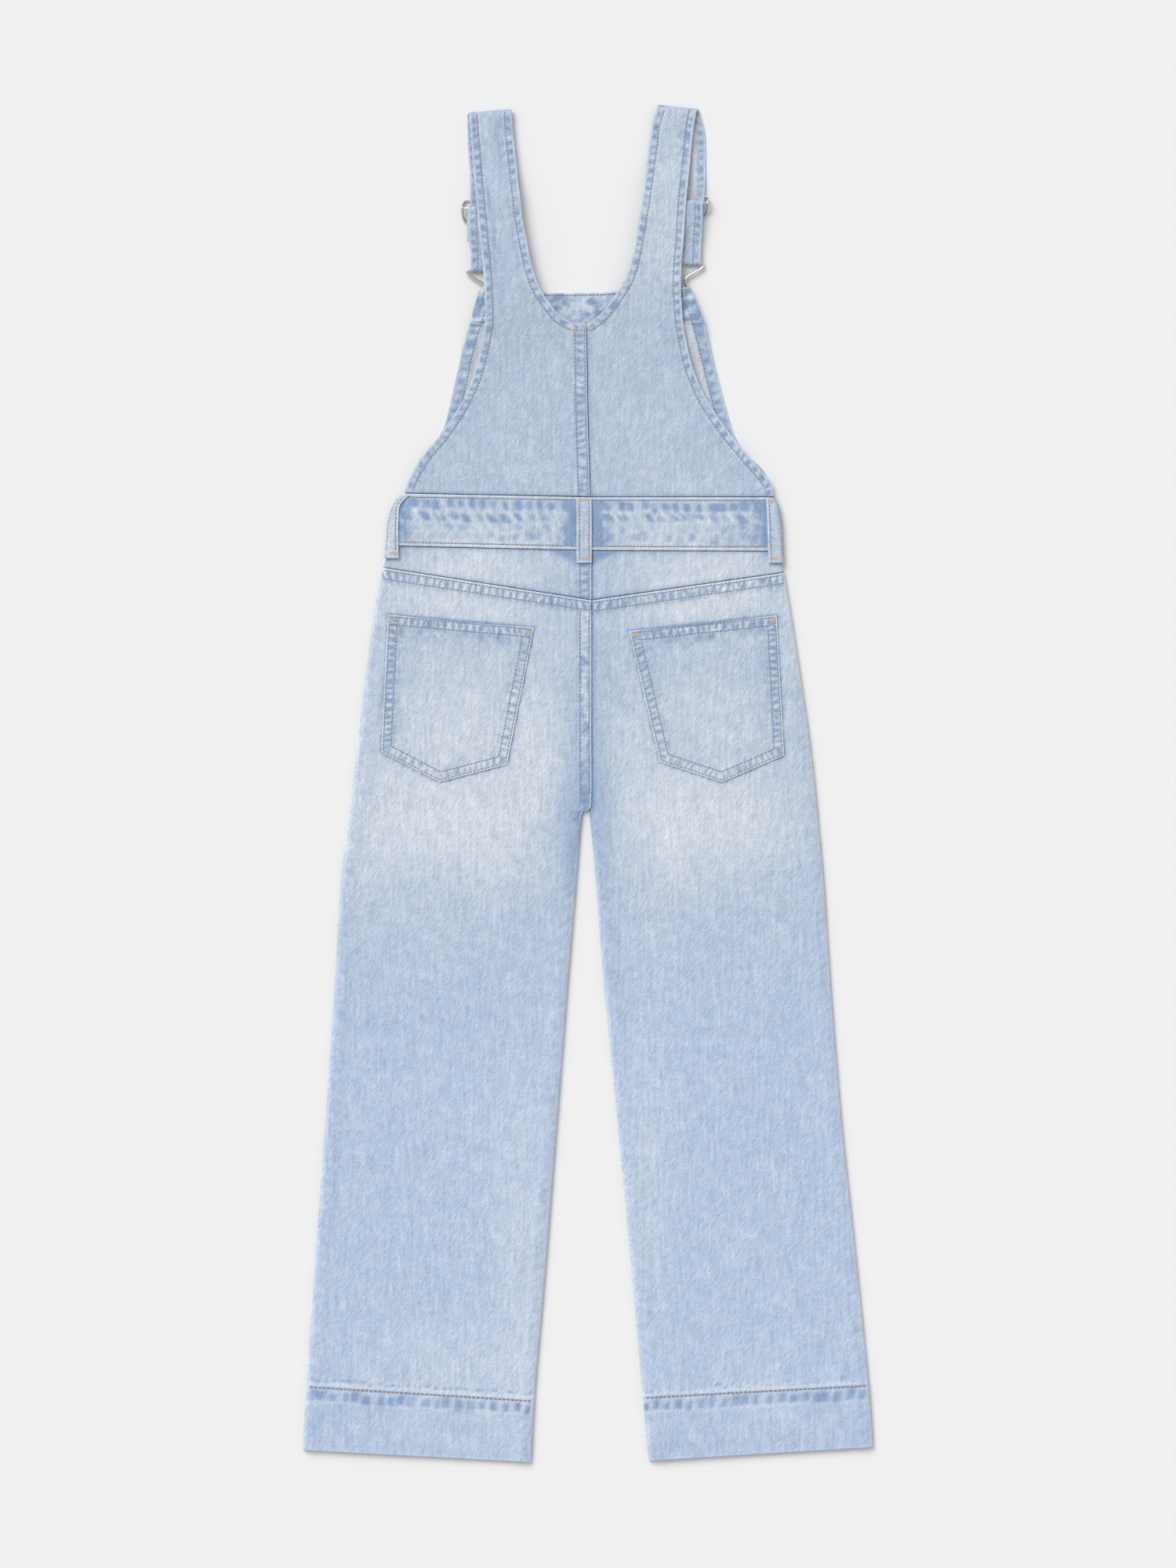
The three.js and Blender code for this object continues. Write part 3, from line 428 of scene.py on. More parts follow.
class Sheet:
    """A sheet of cloth between two sides: its points, and each point's place on it."""

    def __init__(self, table, reach=14, edge_step=1.0, step=2.6, row_step=2.0, fine=()):
        def side(name):
            z = table.get(f"{name}_z", 0 * table[f"{name}_x"])
            return np.stack([table[f"{name}_x"], table[f"{name}_y"], z], 1)

        left, right = side("left"), side("right")
        middle = side("middle") if "middle_x" in table else None
        count = len(left)
        t = np.linspace(0, count - 1, 40 * (count - 1) + 1)
        both = np.concatenate([catmull(left, t), catmull(right, t)], 1)
        hops = np.diff(both, axis=0)
        spans = (np.linalg.norm(hops[:, :3], axis=1) + np.linalg.norm(hops[:, 3:], axis=1)) / 2
        arc = arc_of(spans)
        self.total = arc[-1]
        start = self.row_places(reach, edge_step, row_step, fine)
        t = np.interp(start, arc, t)
        a, b = catmull(left, t), catmull(right, t)
        m = catmull(middle, t) if middle is not None else (a + b) / 2
        half = np.linalg.norm(m - a, axis=1)
        width = half + np.linalg.norm(b - m, axis=1)
        marks = edge_marks(reach, edge_step)
        scale = np.minimum(1, 0.45 * width / reach)[:, None]
        inner = max(2, int(np.ceil((width.max() - 2 * reach) / step)))
        even = np.linspace(0, 1, inner + 1)[1:-1][None]
        first = marks[None] * scale
        last = width[:, None] - first[:, ::-1]
        between = first[:, -1:] + (last[:, :1] - first[:, -1:]) * even
        place = np.concatenate([first, between, last], 1)
        low = np.clip(place / half[:, None], 0, 1)[..., None]
        high = np.clip((place - half[:, None]) / (width - half)[:, None], 0, 1)[..., None]
        self.point = a[:, None] + low * (m - a)[:, None] + high * (b - m)[:, None]
        self.left, self.right = place, width[:, None] - place
        self.start = np.broadcast_to(start[:, None], place.shape)
        self.end = self.total - self.start
        self.x, self.y = self.point[..., 0].copy(), self.point[..., 1].copy()
        self.u, self.v = self.x.copy(), self.y.copy()
        self.up = np.zeros(self.point.shape)
        self.up[..., 2] = 1
        self.tone = 0 * self.x
        self.relief = 0 * self.x

    def row_places(self, reach, edge_step, row_step, fine):
        marks = edge_marks(reach, edge_step)
        stops = [(marks[-1], self.total - marks[-1], row_step)]
        for low, high, step in fine:
            cut = []
            for a, b, s in stops:
                inside = max(a, low), min(b, high)
                if inside[0] >= inside[1]:
                    cut.append((a, b, s))
                    continue
                cut += [(a, inside[0], s), (*inside, step), (inside[1], b, s)]
            stops = [stop for stop in cut if stop[1] - stop[0] > 1e-6]
        places = [marks]
        for a, b, step in stops:
            places.append(np.linspace(a, b, max(1, round((b - a) / step)) + 1)[1:])
        places.append(self.total - marks[::-1][1:])
        return np.concatenate(places)

    def bend_normals(self):
        """Normals of a sheet that turns over; its outer face is the one that looks up first."""
        along = np.gradient(self.point, axis=0)
        across = np.gradient(self.point, axis=1)
        self.up = unit(np.cross(across, along))

    def rim(self, thickness):
        """How far each face falls back at the round rim."""
        radius = thickness / 2
        nearest = np.minimum.reduce([self.left, self.right, self.start, self.end])
        gone = np.clip(radius - nearest, 0, radius)
        return radius - np.sqrt(radius**2 - gone**2)

    def wall(self, above, below, thickness):
        """Sets the two faces at these distances from the sheet."""
        back = self.rim(thickness)
        seen = fall(back, 0, thickness / 2)
        out = above - back + self.relief * seen
        self.outer = self.point + self.up * out[..., None]
        self.inner = self.point - self.up * (below - back)[..., None]


def ropes(along, period, seed):
    """Uneven ridges, 1, and valleys, -1, such as sewing pulls into washed denim."""
    shifted = along + 0.5 * period * noise1(along / (1.7 * period), seed)
    strength = 0.68 + 0.32 * noise1(along / (1.9 * period) + 9, seed + 1)
    return strength * np.sin(2 * math.pi * shifted / period)


def blotches(across, along, width, length, seed):
    """Uneven patches between -1 and 1 of about this width and length."""
    return 0.75 * noise2(along / length, across / width, seed) + 0.4 * noise2(
        along / length * 2.3 + 7, across / width * 2.1, seed + 1)


def seam(sheet, distance, along, stitches, period, seed, where=1.0, deep=1.0, base=-0.28):
    """Adds the tone and the relief of sewing that runs beside an edge: worn ropes and patches, a paler
    line along the edge, and painted shade in the groove of each stitch row.
    """
    first, last = stitches[0], stitches[-1]
    lean = 0.45 * noise1(along / 23, seed + 3)
    rope = ropes(along + lean * (distance - last / 2), period, seed)
    mottled = blotches(distance, along, 3.4, 0.55 * period, seed + 5)
    if len(stitches) > 1:
        inside = plateau(distance, first - 0.2, first + 1.2, last - 1.2, last + 0.2)
        middle, reach = (first + last) / 2, 0.46 * (last - first)
    else:
        inside = plateau(distance, 0.8, 2.2, first - 1.0, first + 0.2)
        middle, reach = 0.56 * first, 0.42 * first
    hump = bell(distance - middle, reach)
    beyond = ramp(distance, last + 0.2, last + 1.2) * np.exp(-np.maximum(distance - last - 0.8, 0) / 3.0)
    edge = fall(distance, 0.6, 1.9)
    # painted shade in the groove of each stitch row, which the relief also sinks
    shaded_groove = sum(bell(distance - stitch, 0.6) for stitch in stitches)
    tone = inside * (0.85 * hump * rope + 0.4 * mottled + base)
    tone = tone + beyond * (0.3 * rope + 0.3 * mottled - 0.16)
    sheet.tone += where * (deep * tone + 0.5 * edge - 0.3 * shaded_groove)
    sheet.relief += where * (0.2 * inside * rope + 0.12 * beyond * rope - 0.2 * shaded_groove)


def dark_cells(x, depth, middle, spacing, width, height, lean, low, high, seed):
    """A row of uneven dark cells between ridges that sewing pulls up."""
    random = np.random.default_rng(int(seed))
    total = 0 * x
    for place in np.arange(-232, 232, spacing):
        centre = place + random.uniform(-0.2, 0.2) * spacing
        level = middle + random.uniform(-1.3, 1.3)
        wide, tall = width * random.uniform(0.7, 1.25), height * random.uniform(0.7, 1.15)
        across = (x - centre - lean * (depth - level)) / (0.5 * wide)
        down = (depth - level) / (0.5 * tall)
        total = total + random.uniform(low, high) * np.exp(-(across**4 + down**4))
    return total


def distance_to(line, x, y):
    """How far points of the plane are from a line, and how far along it."""
    best, along, arc = np.full(x.shape, 1e9), 0 * x, 0.0
    for a, b in zip(line[:-1], line[1:]):
        way = b - a
        length = np.hypot(*way)
        part = np.clip(((x - a[0]) * way[0] + (y - a[1]) * way[1]) / length**2, 0, 1)
        here = np.hypot(x - a[0] - part * way[0], y - a[1] - part * way[1])
        closer = here < best
        along = np.where(closer, arc + part * length, along)
        best = np.minimum(best, here)
        arc += length
    return best, along


def offset(line, distance, inside):
    """A line of the plane moved sideways towards the point inside."""
    way = unit(np.gradient(line, axis=0))
    normal = np.stack([-way[:, 1], way[:, 0]], 1)
    normal *= np.sign((normal * (inside - line)).sum(1, keepdims=True))
    return line + distance * normal


def raised(distance, width, rise):
    """The step up to a margin of this width that lies double."""
    return rise * fall(distance, width - 0.2, width + 1.3)


def lap_shadow(sheet, distance, where=1.0):
    """The dark line on a piece where a folded edge lies over it."""
    sheet.tone -= where * (0.5 * fall(distance, 0.3, 1.8) + 0.25 * fall(distance, 1, 5))


# Materials

def nodes_of(name):
    material = bpy.data.materials.new(name)
    material.use_nodes = True
    tree = material.node_tree
    shader = tree.nodes["Principled BSDF"]
    return material, tree, shader


def node(tree, kind, inputs=(), **settings):
    made = tree.nodes.new(kind)
    for name, value in settings.items():
        setattr(made, name, value)
    for key, value in dict(inputs).items():
        if isinstance(value, bpy.types.NodeSocket):
            tree.links.new(value, made.inputs[key])
        else:
            made.inputs[key].default_value = value
    return made


def math_node(tree, operation, a, b=0.0, clamp=False):
    made = node(tree, "ShaderNodeMath", {0: a, 1: b}, operation=operation, use_clamp=clamp)
    return made.outputs[0]


def mix_colour(tree, factor, a, b, blend="MIX"):
    made = tree.nodes.new("ShaderNodeMix")
    made.data_type = "RGBA"
    made.blend_type = blend
    for socket, value in (("Factor_Float", factor), ("A_Color", a), ("B_Color", b)):
        target = next(s for s in made.inputs if s.identifier == socket)
        if isinstance(value, bpy.types.NodeSocket):
            tree.links.new(value, target)
        else:
            target.default_value = value
    return next(s for s in made.outputs if s.identifier == "Result_Color")


def stretched_noise(tree, vector, scale, detail, size=(1, 1, 1)):
    mapped = node(tree, "ShaderNodeMapping", {"Vector": vector, "Scale": size})
    made = node(tree, "ShaderNodeTexNoise",
                {"Vector": mapped.outputs[0], "Scale": scale, "Detail": detail, "Roughness": 0.6})
    return made.outputs["Fac"]


def set_inputs(shader, **values):
    """Sets the shader's sockets; an underscore in a name here is a space there."""
    for name, value in values.items():
        shader.inputs[name.replace("_", " ")].default_value = value


def bumps(tree, shader, strength, distance, height):
    made = node(tree, "ShaderNodeBump", {"Strength": strength, "Distance": distance, "Height": height})
    tree.links.new(made.outputs[0], shader.inputs["Normal"])


def attribute(tree, name):
    return node(tree, "ShaderNodeAttribute", attribute_name=name).outputs["Fac"]


BLUE = (0.440, 0.545, 0.725, 1)
GREYED = (0.436, 0.530, 0.665, 1)
PALE = (0.715, 0.745, 0.800, 1)
DEEP = (0.190, 0.300, 0.500, 1)
CHALK = (0.760, 0.785, 0.840, 1)
WRONG_SIDE = (0.610, 0.640, 0.705, 1)
THREAD_SHADES = (0.170, 0.180, 0.245, 1), (0.430, 0.400, 0.440, 1)
TACK_SHADES = (0.680, 0.430, 0.280, 1), (0.820, 0.660, 0.520, 1)
STEEL_SHADES = (0.60, 0.57, 0.55, 1), (0.80, 0.78, 0.77, 1)
TWILL_PITCH = 1.35
TWILL_ANGLE = math.radians(58)


def turned_place(tree, place, angle, along, across):
    """The place measured along and across a slanted direction, in steps of these lengths."""
    parts = []
    for turn, length in ((angle, along), (angle + math.pi / 2, across)):
        way = (math.cos(turn) / length, math.sin(turn) / length, 0)
        dot = node(tree, "ShaderNodeVectorMath", {0: place, 1: way}, operation="DOT_PRODUCT")
        parts.append(dot.outputs["Value"])
    return node(tree, "ShaderNodeCombineXYZ", {"X": parts[0], "Y": parts[1]}).outputs[0]


def weighted_sum(tree, parts, base):
    """Base plus each value times its weight."""
    total = base
    for value, weight in parts:
        added = math_node(tree, "MULTIPLY_ADD", value, weight)
        if isinstance(total, bpy.types.NodeSocket):
            tree.links.new(total, added.node.inputs[2])
        else:
            added.node.inputs[2].default_value = total
        total = added
    return total


def denim_material():
    """Washed denim: twill lines, slubs along the grain, mottling, worn ridges and painted shade from the
    tone attribute, and wrong side.
    """
    material, tree, shader = nodes_of("denim")
    weave = node(tree, "ShaderNodeUVMap", uv_map="weave").outputs[0]
    turns = 2 * math.pi / TWILL_PITCH
    crossing = turns * math.sin(TWILL_ANGLE), -turns * math.cos(TWILL_ANGLE), 0
    phase = node(tree, "ShaderNodeVectorMath", {0: weave, 1: crossing}, operation="DOT_PRODUCT")
    wander = stretched_noise(tree, weave, 0.45, 2)
    bent = math_node(tree, "MULTIPLY_ADD", wander, 5.0)
    tree.links.new(phase.outputs["Value"], bent.node.inputs[2])
    twill = math_node(tree, "SINE", bent)
    grain = stretched_noise(tree, weave, 1.0, 3, (1.5, 0.07, 1))
    slubs = stretched_noise(tree, weave, 1.0, 2, (0.42, 0.035, 1))
    weft = stretched_noise(tree, weave, 1.0, 2, (0.1, 1.9, 1))
    slanted = turned_place(tree, weave, TWILL_ANGLE, 6.5, 1.9)
    drift = stretched_noise(tree, slanted, 1.0, 2)
    mottle = stretched_noise(tree, weave, 0.09, 4)
    speck = stretched_noise(tree, weave, 1.1, 3, (1, 0.6, 1))
    broken = stretched_noise(tree, weave, 0.16, 3)

    tone, worn, side, grey = (attribute(tree, name) for name in ("tone", "worn", "side", "grey"))
    streaks = weighted_sum(tree, [(worn, 1.0), (mottle, 1.0), (grain, 0.75)], -0.805)
    share = math_node(tree, "ADD", streaks, 0.0, clamp=True)
    colour = mix_colour(tree, share, mix_colour(tree, grey, BLUE, GREYED), PALE)

    # the tone attribute holds wear and painted shade alike: below 0 it darkens towards DEEP, above 0 it
    # pales towards CHALK
    dark = math_node(tree, "MULTIPLY", tone, -0.80, clamp=True)
    colour = mix_colour(tree, dark, colour, DEEP)
    light = math_node(tree, "MULTIPLY", tone, 0.62, clamp=True)
    colour = mix_colour(tree, light, colour, CHALK)

    strength = weighted_sum(tree, [(broken, 0.20)], 0.02)
    ribs = math_node(tree, "MULTIPLY", twill, strength)
    parts = (ribs, 1.0), (speck, 0.72), (drift, 0.58), (slubs, 0.46), (weft, 0.16)
    fine = weighted_sum(tree, parts, 0.04)
    colour = mix_colour(tree, 1.0, colour, fine, "MULTIPLY")

    reverse = mix_colour(tree, 1.0, WRONG_SIDE, fine, "MULTIPLY")
    colour = mix_colour(tree, side, colour, reverse)
    tree.links.new(colour, shader.inputs["Base Color"])

    height = weighted_sum(tree, [(twill, 0.3), (grain, 0.4), (speck, 0.6)], 0.0)
    bumps(tree, shader, 0.35, 0.0003, height)
    set_inputs(shader, Roughness=0.88, Specular_IOR_Level=0.25, Sheen_Weight=0.12, Sheen_Roughness=0.5)
    return material


def thread_material(name, colour, shade):
    material, tree, shader = nodes_of(name)
    place = node(tree, "ShaderNodeTexCoord").outputs["Object"]
    patchy = stretched_noise(tree, place, 900, 2)
    fibres = stretched_noise(tree, place, 5200, 2)
    mixed = mix_colour(tree, patchy, colour, shade)
    tree.links.new(mixed, shader.inputs["Base Color"])
    bumps(tree, shader, 0.3, 0.0001, fibres)
    set_inputs(shader, Roughness=0.75, Specular_IOR_Level=0.3)
    return material


def steel_material():
    material, tree, shader = nodes_of("steel")
    place = node(tree, "ShaderNodeTexCoord").outputs["Object"]
    brushed = stretched_noise(tree, place, 260, 3, (1, 6, 6))
    cloudy = stretched_noise(tree, place, 60, 2)
    tint = mix_colour(tree, cloudy, *STEEL_SHADES)
    tree.links.new(tint, shader.inputs["Base Color"])
    rough = weighted_sum(tree, [(brushed, 0.22)], 0.14)
    tree.links.new(rough, shader.inputs["Roughness"])
    set_inputs(shader, Metallic=1.0)
    return material


denim = denim_material()
thread = thread_material("thread", *THREAD_SHADES)
tack_thread = thread_material("tack_thread", *TACK_SHADES)
steel = steel_material()


# Meshes

def new_object(name, data):
    made = bpy.data.objects.new(name, data)
    bpy.context.collection.objects.link(made)
    return made


def facing_out(points, quads):
    """The four-sided faces of a closed form, turned over if they point in."""
    a, b, c, d = (points[quads[:, k]] for k in range(4))
    volume = (a * np.cross(b, c)).sum() + (a * np.cross(c, d)).sum()
    return quads if volume > 0 else quads[:, ::-1]


def mesh_object(name, points, quads, material):
    """A smooth mesh of four-sided faces, and the faces as they point out."""
    points = points * MM
    quads = facing_out(points, quads)
    mesh = bpy.data.meshes.new(name)
    mesh.vertices.add(len(points))
    mesh.loops.add(quads.size)
    mesh.polygons.add(len(quads))
    mesh.vertices.foreach_set("co", points.ravel())
    mesh.loops.foreach_set("vertex_index", quads.ravel())
    mesh.polygons.foreach_set("loop_start", np.arange(0, quads.size, 4))
    mesh.polygons.foreach_set("use_smooth", np.ones(len(quads), bool))
    mesh.update(calc_edges=True)
    mesh.materials.append(material)
    return new_object(name, mesh), quads


def grid_quads(count_rows, count_columns, offset=0):
    i, j = np.meshgrid(np.arange(count_rows - 1), np.arange(count_columns - 1), indexing="ij")
    a = (i * count_columns + j).ravel() + offset
    return np.stack([a, a + 1, a + count_columns + 1, a + count_columns], 1)


def ring_quads(rings, around, closed):
    """The faces between rings of points, and between the last and the first of a closed row."""
    i, k = np.meshgrid(np.arange(rings if closed else rings - 1), np.arange(around), indexing="ij")
    i, k = i.ravel(), k.ravel()
    after, turn = (i + 1) % rings, (k + 1) % around
    return np.stack([i * around + k, i * around + turn, after * around + turn, after * around + k], 1)


def cloth_object(name, sheet, worn, sides, grey=1.0, beneath=0.3):
    """The closed shell of a sheet, with its tone, wear, side and weave on its points."""
    count, columns = sheet.x.shape
    points = np.concatenate([sheet.outer.reshape(-1, 3), sheet.inner.reshape(-1, 3)])
    top = grid_quads(count, columns)
    below = grid_quads(count, columns, count * columns)[:, ::-1]
    index = np.arange(count * columns).reshape(count, columns)
    walls = []
    for line in (index[0], index[:, -1], index[-1][::-1], index[::-1, 0]):
        other = line + count * columns
        walls.append(np.stack([line[1:], line[:-1], other[:-1], other[1:]], 1))
    quads = np.concatenate([top, below, *walls])
    made, quads = mesh_object(name + "_cloth", points, quads, denim)
    values = {
        "tone": (np.clip(sheet.tone, -1, 1), beneath * np.clip(sheet.tone, -1, 1)),
        "worn": (worn, worn),
        "side": sides,
        "grey": (grey, grey),
    }
    for key, (outer, inner) in values.items():
        both = [np.broadcast_to(part, sheet.x.shape).ravel() for part in (outer, inner)]
        layer = made.data.attributes.new(key, "FLOAT", "POINT")
        layer.data.foreach_set("value", np.concatenate(both).astype(np.float32))
    weave = np.stack([sheet.u, sheet.v], 2).reshape(-1, 2)
    weave = np.concatenate([weave, weave])
    layer = made.data.uv_layers.new(name="weave")
    layer.data.foreach_set("uv", weave[quads.ravel()].astype(np.float32).ravel())
    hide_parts(name)
    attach(made, "root")
    return made


# Sewing

def read_off(at, places, values):
    """The columns of values, read off at these places."""
    return np.stack([np.interp(at, places, column) for column in values.T], -1)


def upright(count):
    return np.tile((0.0, 0.0, 1.0), (count, 1))


class Sewing:
    """Stitches that are joined into one piece."""

    def __init__(self, name, material, radius=THREAD_RADIUS):
        self.name, self.material, self.radius = name, material, radius
        self.centres, self.alongs, self.ups, self.lengths = [], [], [], []
        self.random = np.random.default_rng(len(name) * 31 + 5)

    def add(self, centres, alongs, ups, lengths):
        self.centres.append(centres)
        self.alongs.append(alongs)
        self.ups.append(ups)
        self.lengths.append(np.broadcast_to(lengths, len(centres)))

    def run(self, line, ups, pitch=PITCH, gap=0.6):
        """Stitches along a line on the cloth, end to end, with a short gap where each dives in."""
        arc = arc_of(np.linalg.norm(np.diff(line, axis=0), axis=1))
        count = max(1, int(arc[-1] / pitch))
        ends = np.linspace(0, arc[-1], count + 1)
        at, up = read_off(ends, arc, line), read_off(ends, arc, ups)
        middle, along = (at[1:] + at[:-1]) / 2, at[1:] - at[:-1]
        normal = (up[1:] + up[:-1]) / 2
        lengths = np.linalg.norm(along, axis=1) - gap
        along = unit(along)
        side = np.cross(normal, along)
        along = along + side * self.random.normal(0, 0.045, (count, 1))
        middle = middle + normal * 0.1 + side * self.random.normal(0, 0.05, (count, 1))
        self.add(middle, along, normal, lengths)

    def tack(self, centre, direction, length, width):
        """A bar tack: a long thread at each side with a zigzag between."""
        direction = np.array([*direction, 0.0]) / np.hypot(*direction)
        up = np.array([0.0, 0.0, 1.0])
        side = np.cross(up, direction)
        centre = np.array(centre, float)
        for shift in (-0.5, 0.5):
            lean = direction + side * self.random.normal(0, 0.015)
            place = centre + side * shift * width + up * TACK_LIFT
            self.add(place[None], lean[None], up[None], length * self.random.uniform(0.96, 1.0))
        count = max(3, round(length / 1.15))
        for k in range(count):
            place = centre + direction * ((k + 0.5) / count - 0.5) * 0.94 * length + up * 0.05
            lean = side * (1 if k % 2 else -1) + 0.35 * direction
            self.add(place[None], lean[None], up[None], width * 0.92)

    def build(self):
        centres, alongs, ups = (np.concatenate(p) for p in (self.centres, self.alongs, self.ups))
        lengths = np.concatenate(self.lengths)
        alongs = unit(alongs)
        sides = unit(np.cross(ups, alongs))
        ups = np.cross(alongs, sides)
        rings = [(-0.5, 0.3), (-0.42, 0.85), (0.0, 1.0), (0.42, 0.85), (0.5, 0.3)]
        around = 6
        template = []
        for place, size in rings:
            for k in range(around):
                angle = 2 * math.pi * k / around
                rise = 0.22 * (1 - (2 * place) ** 2) - 0.14
                template.append((place, size * math.cos(angle), size * math.sin(angle), rise))
        template = np.array(template)
        points = (
            centres[:, None]
            + template[None, :, 0, None] * lengths[:, None, None] * alongs[:, None]
            + template[None, :, 1, None] * self.radius * sides[:, None]
            + (template[None, :, 2, None] * self.radius * 0.8 + template[None, :, 3, None]) * ups[:, None]
        )
        cap = np.array([(0, 1, 2, 3), (0, 3, 4, 5)])
        last = (len(rings) - 1) * around
        quads = np.concatenate([ring_quads(len(rings), around, False), cap[:, ::-1], cap + last])
        size = len(template)
        every = (np.arange(len(centres)) * size)[:, None, None] + quads[None]
        made, _ = mesh_object(self.name, points.reshape(-1, 3), every.reshape(-1, 4), self.material)
        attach(made, "root")
        return made


def column_line(sheet, side, distance, low=0.0, high=None):
    """The line on the outer face at a distance from a side, between two rows."""
    field = sheet.left if side == "left" else sheet.right
    high = sheet.total if high is None else high
    order = slice(None) if side == "left" else slice(None, None, -1)
    line, ups = [], []
    for i in range(len(field)):
        if not low <= sheet.start[i, 0] <= high:
            continue
        places = field[i][order]
        line.append(read_off(distance, places, sheet.outer[i, order]))
        ups.append(read_off(distance, places, sheet.up[i, order]))
    return np.array(line), np.array(ups)


def row_line(sheet, place, left=0.8, right=0.8):
    """The line on the outer face across the sheet, at a distance from its start."""
    starts = sheet.start[:, 0]
    at = np.interp(place, starts, np.arange(len(starts)))
    i = min(int(at), len(starts) - 2)
    part = at - i
    line = sheet.outer[i] * (1 - part) + sheet.outer[i + 1] * part
    keep = (sheet.left[i] >= left) & (sheet.right[i] >= right)
    return line[keep], sheet.up[i][keep]


def drape(sheet, line, keep):
    """The line of the plane laid on the outer face of the points to keep."""
    points = sheet.outer[keep]
    laid = []
    for spot in line:
        away = ((points[:, :2] - spot) ** 2).sum(1)
        near = np.argpartition(away, 4)[:4]
        share = 1 / (away[near] + 0.01)
        laid.append((*spot, (points[near, 2] * share).sum() / share.sum()))
    return np.array(laid), upright(len(line))


# Back legs, with the yoke seam at the top, the middle seam and the hem

def outer_and_middle(sheet, is_left):
    """How far each point is from the panel's outer side and from its side at the middle."""
    return (sheet.left, sheet.right) if is_left else (sheet.right, sheet.left)


def roll(distance):
    """How far a side rolls down to the layer beneath, as a share."""
    return np.clip(1 - distance / ROLL, 0, 1) ** 2


def swell(distance):
    """How far a panel swells up beside its side, as a share."""
    return np.where(distance < SWELL, np.sin(math.pi * np.clip(distance / SWELL, 0, 1)) ** 2, 0)


def below_crotch(y):
    return ramp(CROTCH_Y - y, 0, 14)


def leg_height(outer, middle, x, y):
    """The height of a back leg's lower face, which rolls down at its open sides."""
    open_part = below_crotch(y)
    edge = np.minimum(outer, np.where(open_part > 0, middle / np.maximum(open_part, 1e-6), 1e9))
    soft = wave(x, y) * ramp(edge, 0, SWELL)
    down = 1.5 * (roll(outer) + open_part * roll(middle))
    up = 0.7 * (swell(outer) + open_part * swell(middle)) * ramp(130 - y, 0, 60)
    down = down + 2.0 * np.exp(-(((x + 1) / 9) ** 2) - ((y - CROTCH_Y) / 7) ** 2)
    return BACK_UNDER + soft - np.minimum(down, 2.25) + up


leg_sewing = Sewing("stitches_legs", thread)
tacks = Sewing("bar_tacks", tack_thread, TACK_RADIUS)
YOKE_STITCHES = (1.9, 8.6)
FELLED_STITCHES = (2.0, 9.4)
# From where to where the middle seam is sewn, down from the top of the leg and of the yoke
LEG_SEAM = 9.0, 166.0
YOKE_SEAM = 1.0, 34.0


def pocket_outline(table):
    """A pocket's five corners, from the top left one round, with the ways along and into it."""
    corners = np.array([
        (table["left_x"][0], table["left_y"][0]),
        (table["left_x"][-1], table["left_y"][-1]),
        (table["middle_x"][-1], table["middle_y"][-1]),
        (table["right_x"][-1], table["right_y"][-1]),
        (table["right_x"][0], table["right_y"][0]),
    ])
    along = unit(np.roll(corners, -1, axis=0) - corners)
    return corners, along, np.stack([-along[:, 1], along[:, 0]], 1)


def pocket_shadow(sheet, table):
    """The tone of the leg round its pocket: dark along the open top edge, faint round the rest."""
    corners, _, inward = pocket_outline(table)
    here = np.stack([sheet.x, sheet.y], 2)
    outside = [-((here - corner) * way).sum(2) for corner, way in zip(corners, inward)]
    above = np.maximum.reduce(outside)
    over_top = np.maximum.reduce(outside[:4]) < 0.5
    top = bell(np.maximum(outside[4] - 0.2, 0), 1.0) + 0.14 * bell(outside[4], 5)
    rest = bell(np.maximum(above - 0.3, 0), 1.6)
    return -np.where(over_top, 0.9 * top, 0.25 * rest) * (above > -2)


def middle_seam(sheet, middle, closed, is_left, seed):
    """Marks the seam between the back legs and returns the step of the side that lies on top."""
    if is_left:
        strip = closed * ramp(sheet.start, 8, 12)
        on_strip = strip * fall(middle, 8.6, 10.4) * ramp(middle, 1.0, 2.4)
        seam(sheet, middle, sheet.y, FELLED_STITCHES, 5.4, seed + 10, strip, deep=0.5, base=0.0)
        marks = blotches(middle + 0.6 * sheet.y, sheet.y - 0.5 * middle, 4.2, 4.6, seed + 12)
        lower = 0.5 * ramp(118 - sheet.y, 0, 22) + 0.45 * ramp(15 - sheet.y, 0, 30)
        sheet.tone -= on_strip * (lower - 0.34 - 1.05 * marks)
        lapped = raised(middle, FELLED_WIDTH, FELLED_RISE) * closed
        # painted shade beside the step up to the doubled strip
        sheet.tone -= 0.3 * closed * bell(middle - FELLED_WIDTH - 0.9, 1.0)
    else:
        lapped = 0 * middle
        lap_shadow(sheet, middle, closed)
        # soft painted shade on the right leg beside the left leg's lapped seam
        sheet.tone -= 0.12 * bell(middle, 10) * ramp(135 - sheet.y, 0, 20) * closed
    return lapped


def crotch_shadow(sheet, middle, is_left):
    reach, lowest = (15, 40) if is_left else (10, 60)
    at_gap = bell(middle, reach) * bell(sheet.y + 62, lowest)
    sheet.tone -= (0.45 if is_left else 0.3) * at_gap * below_crotch(sheet.y + 4)
    sheet.tone -= 0.32 * bell(middle, 15) * bell(sheet.y + 14, 24)


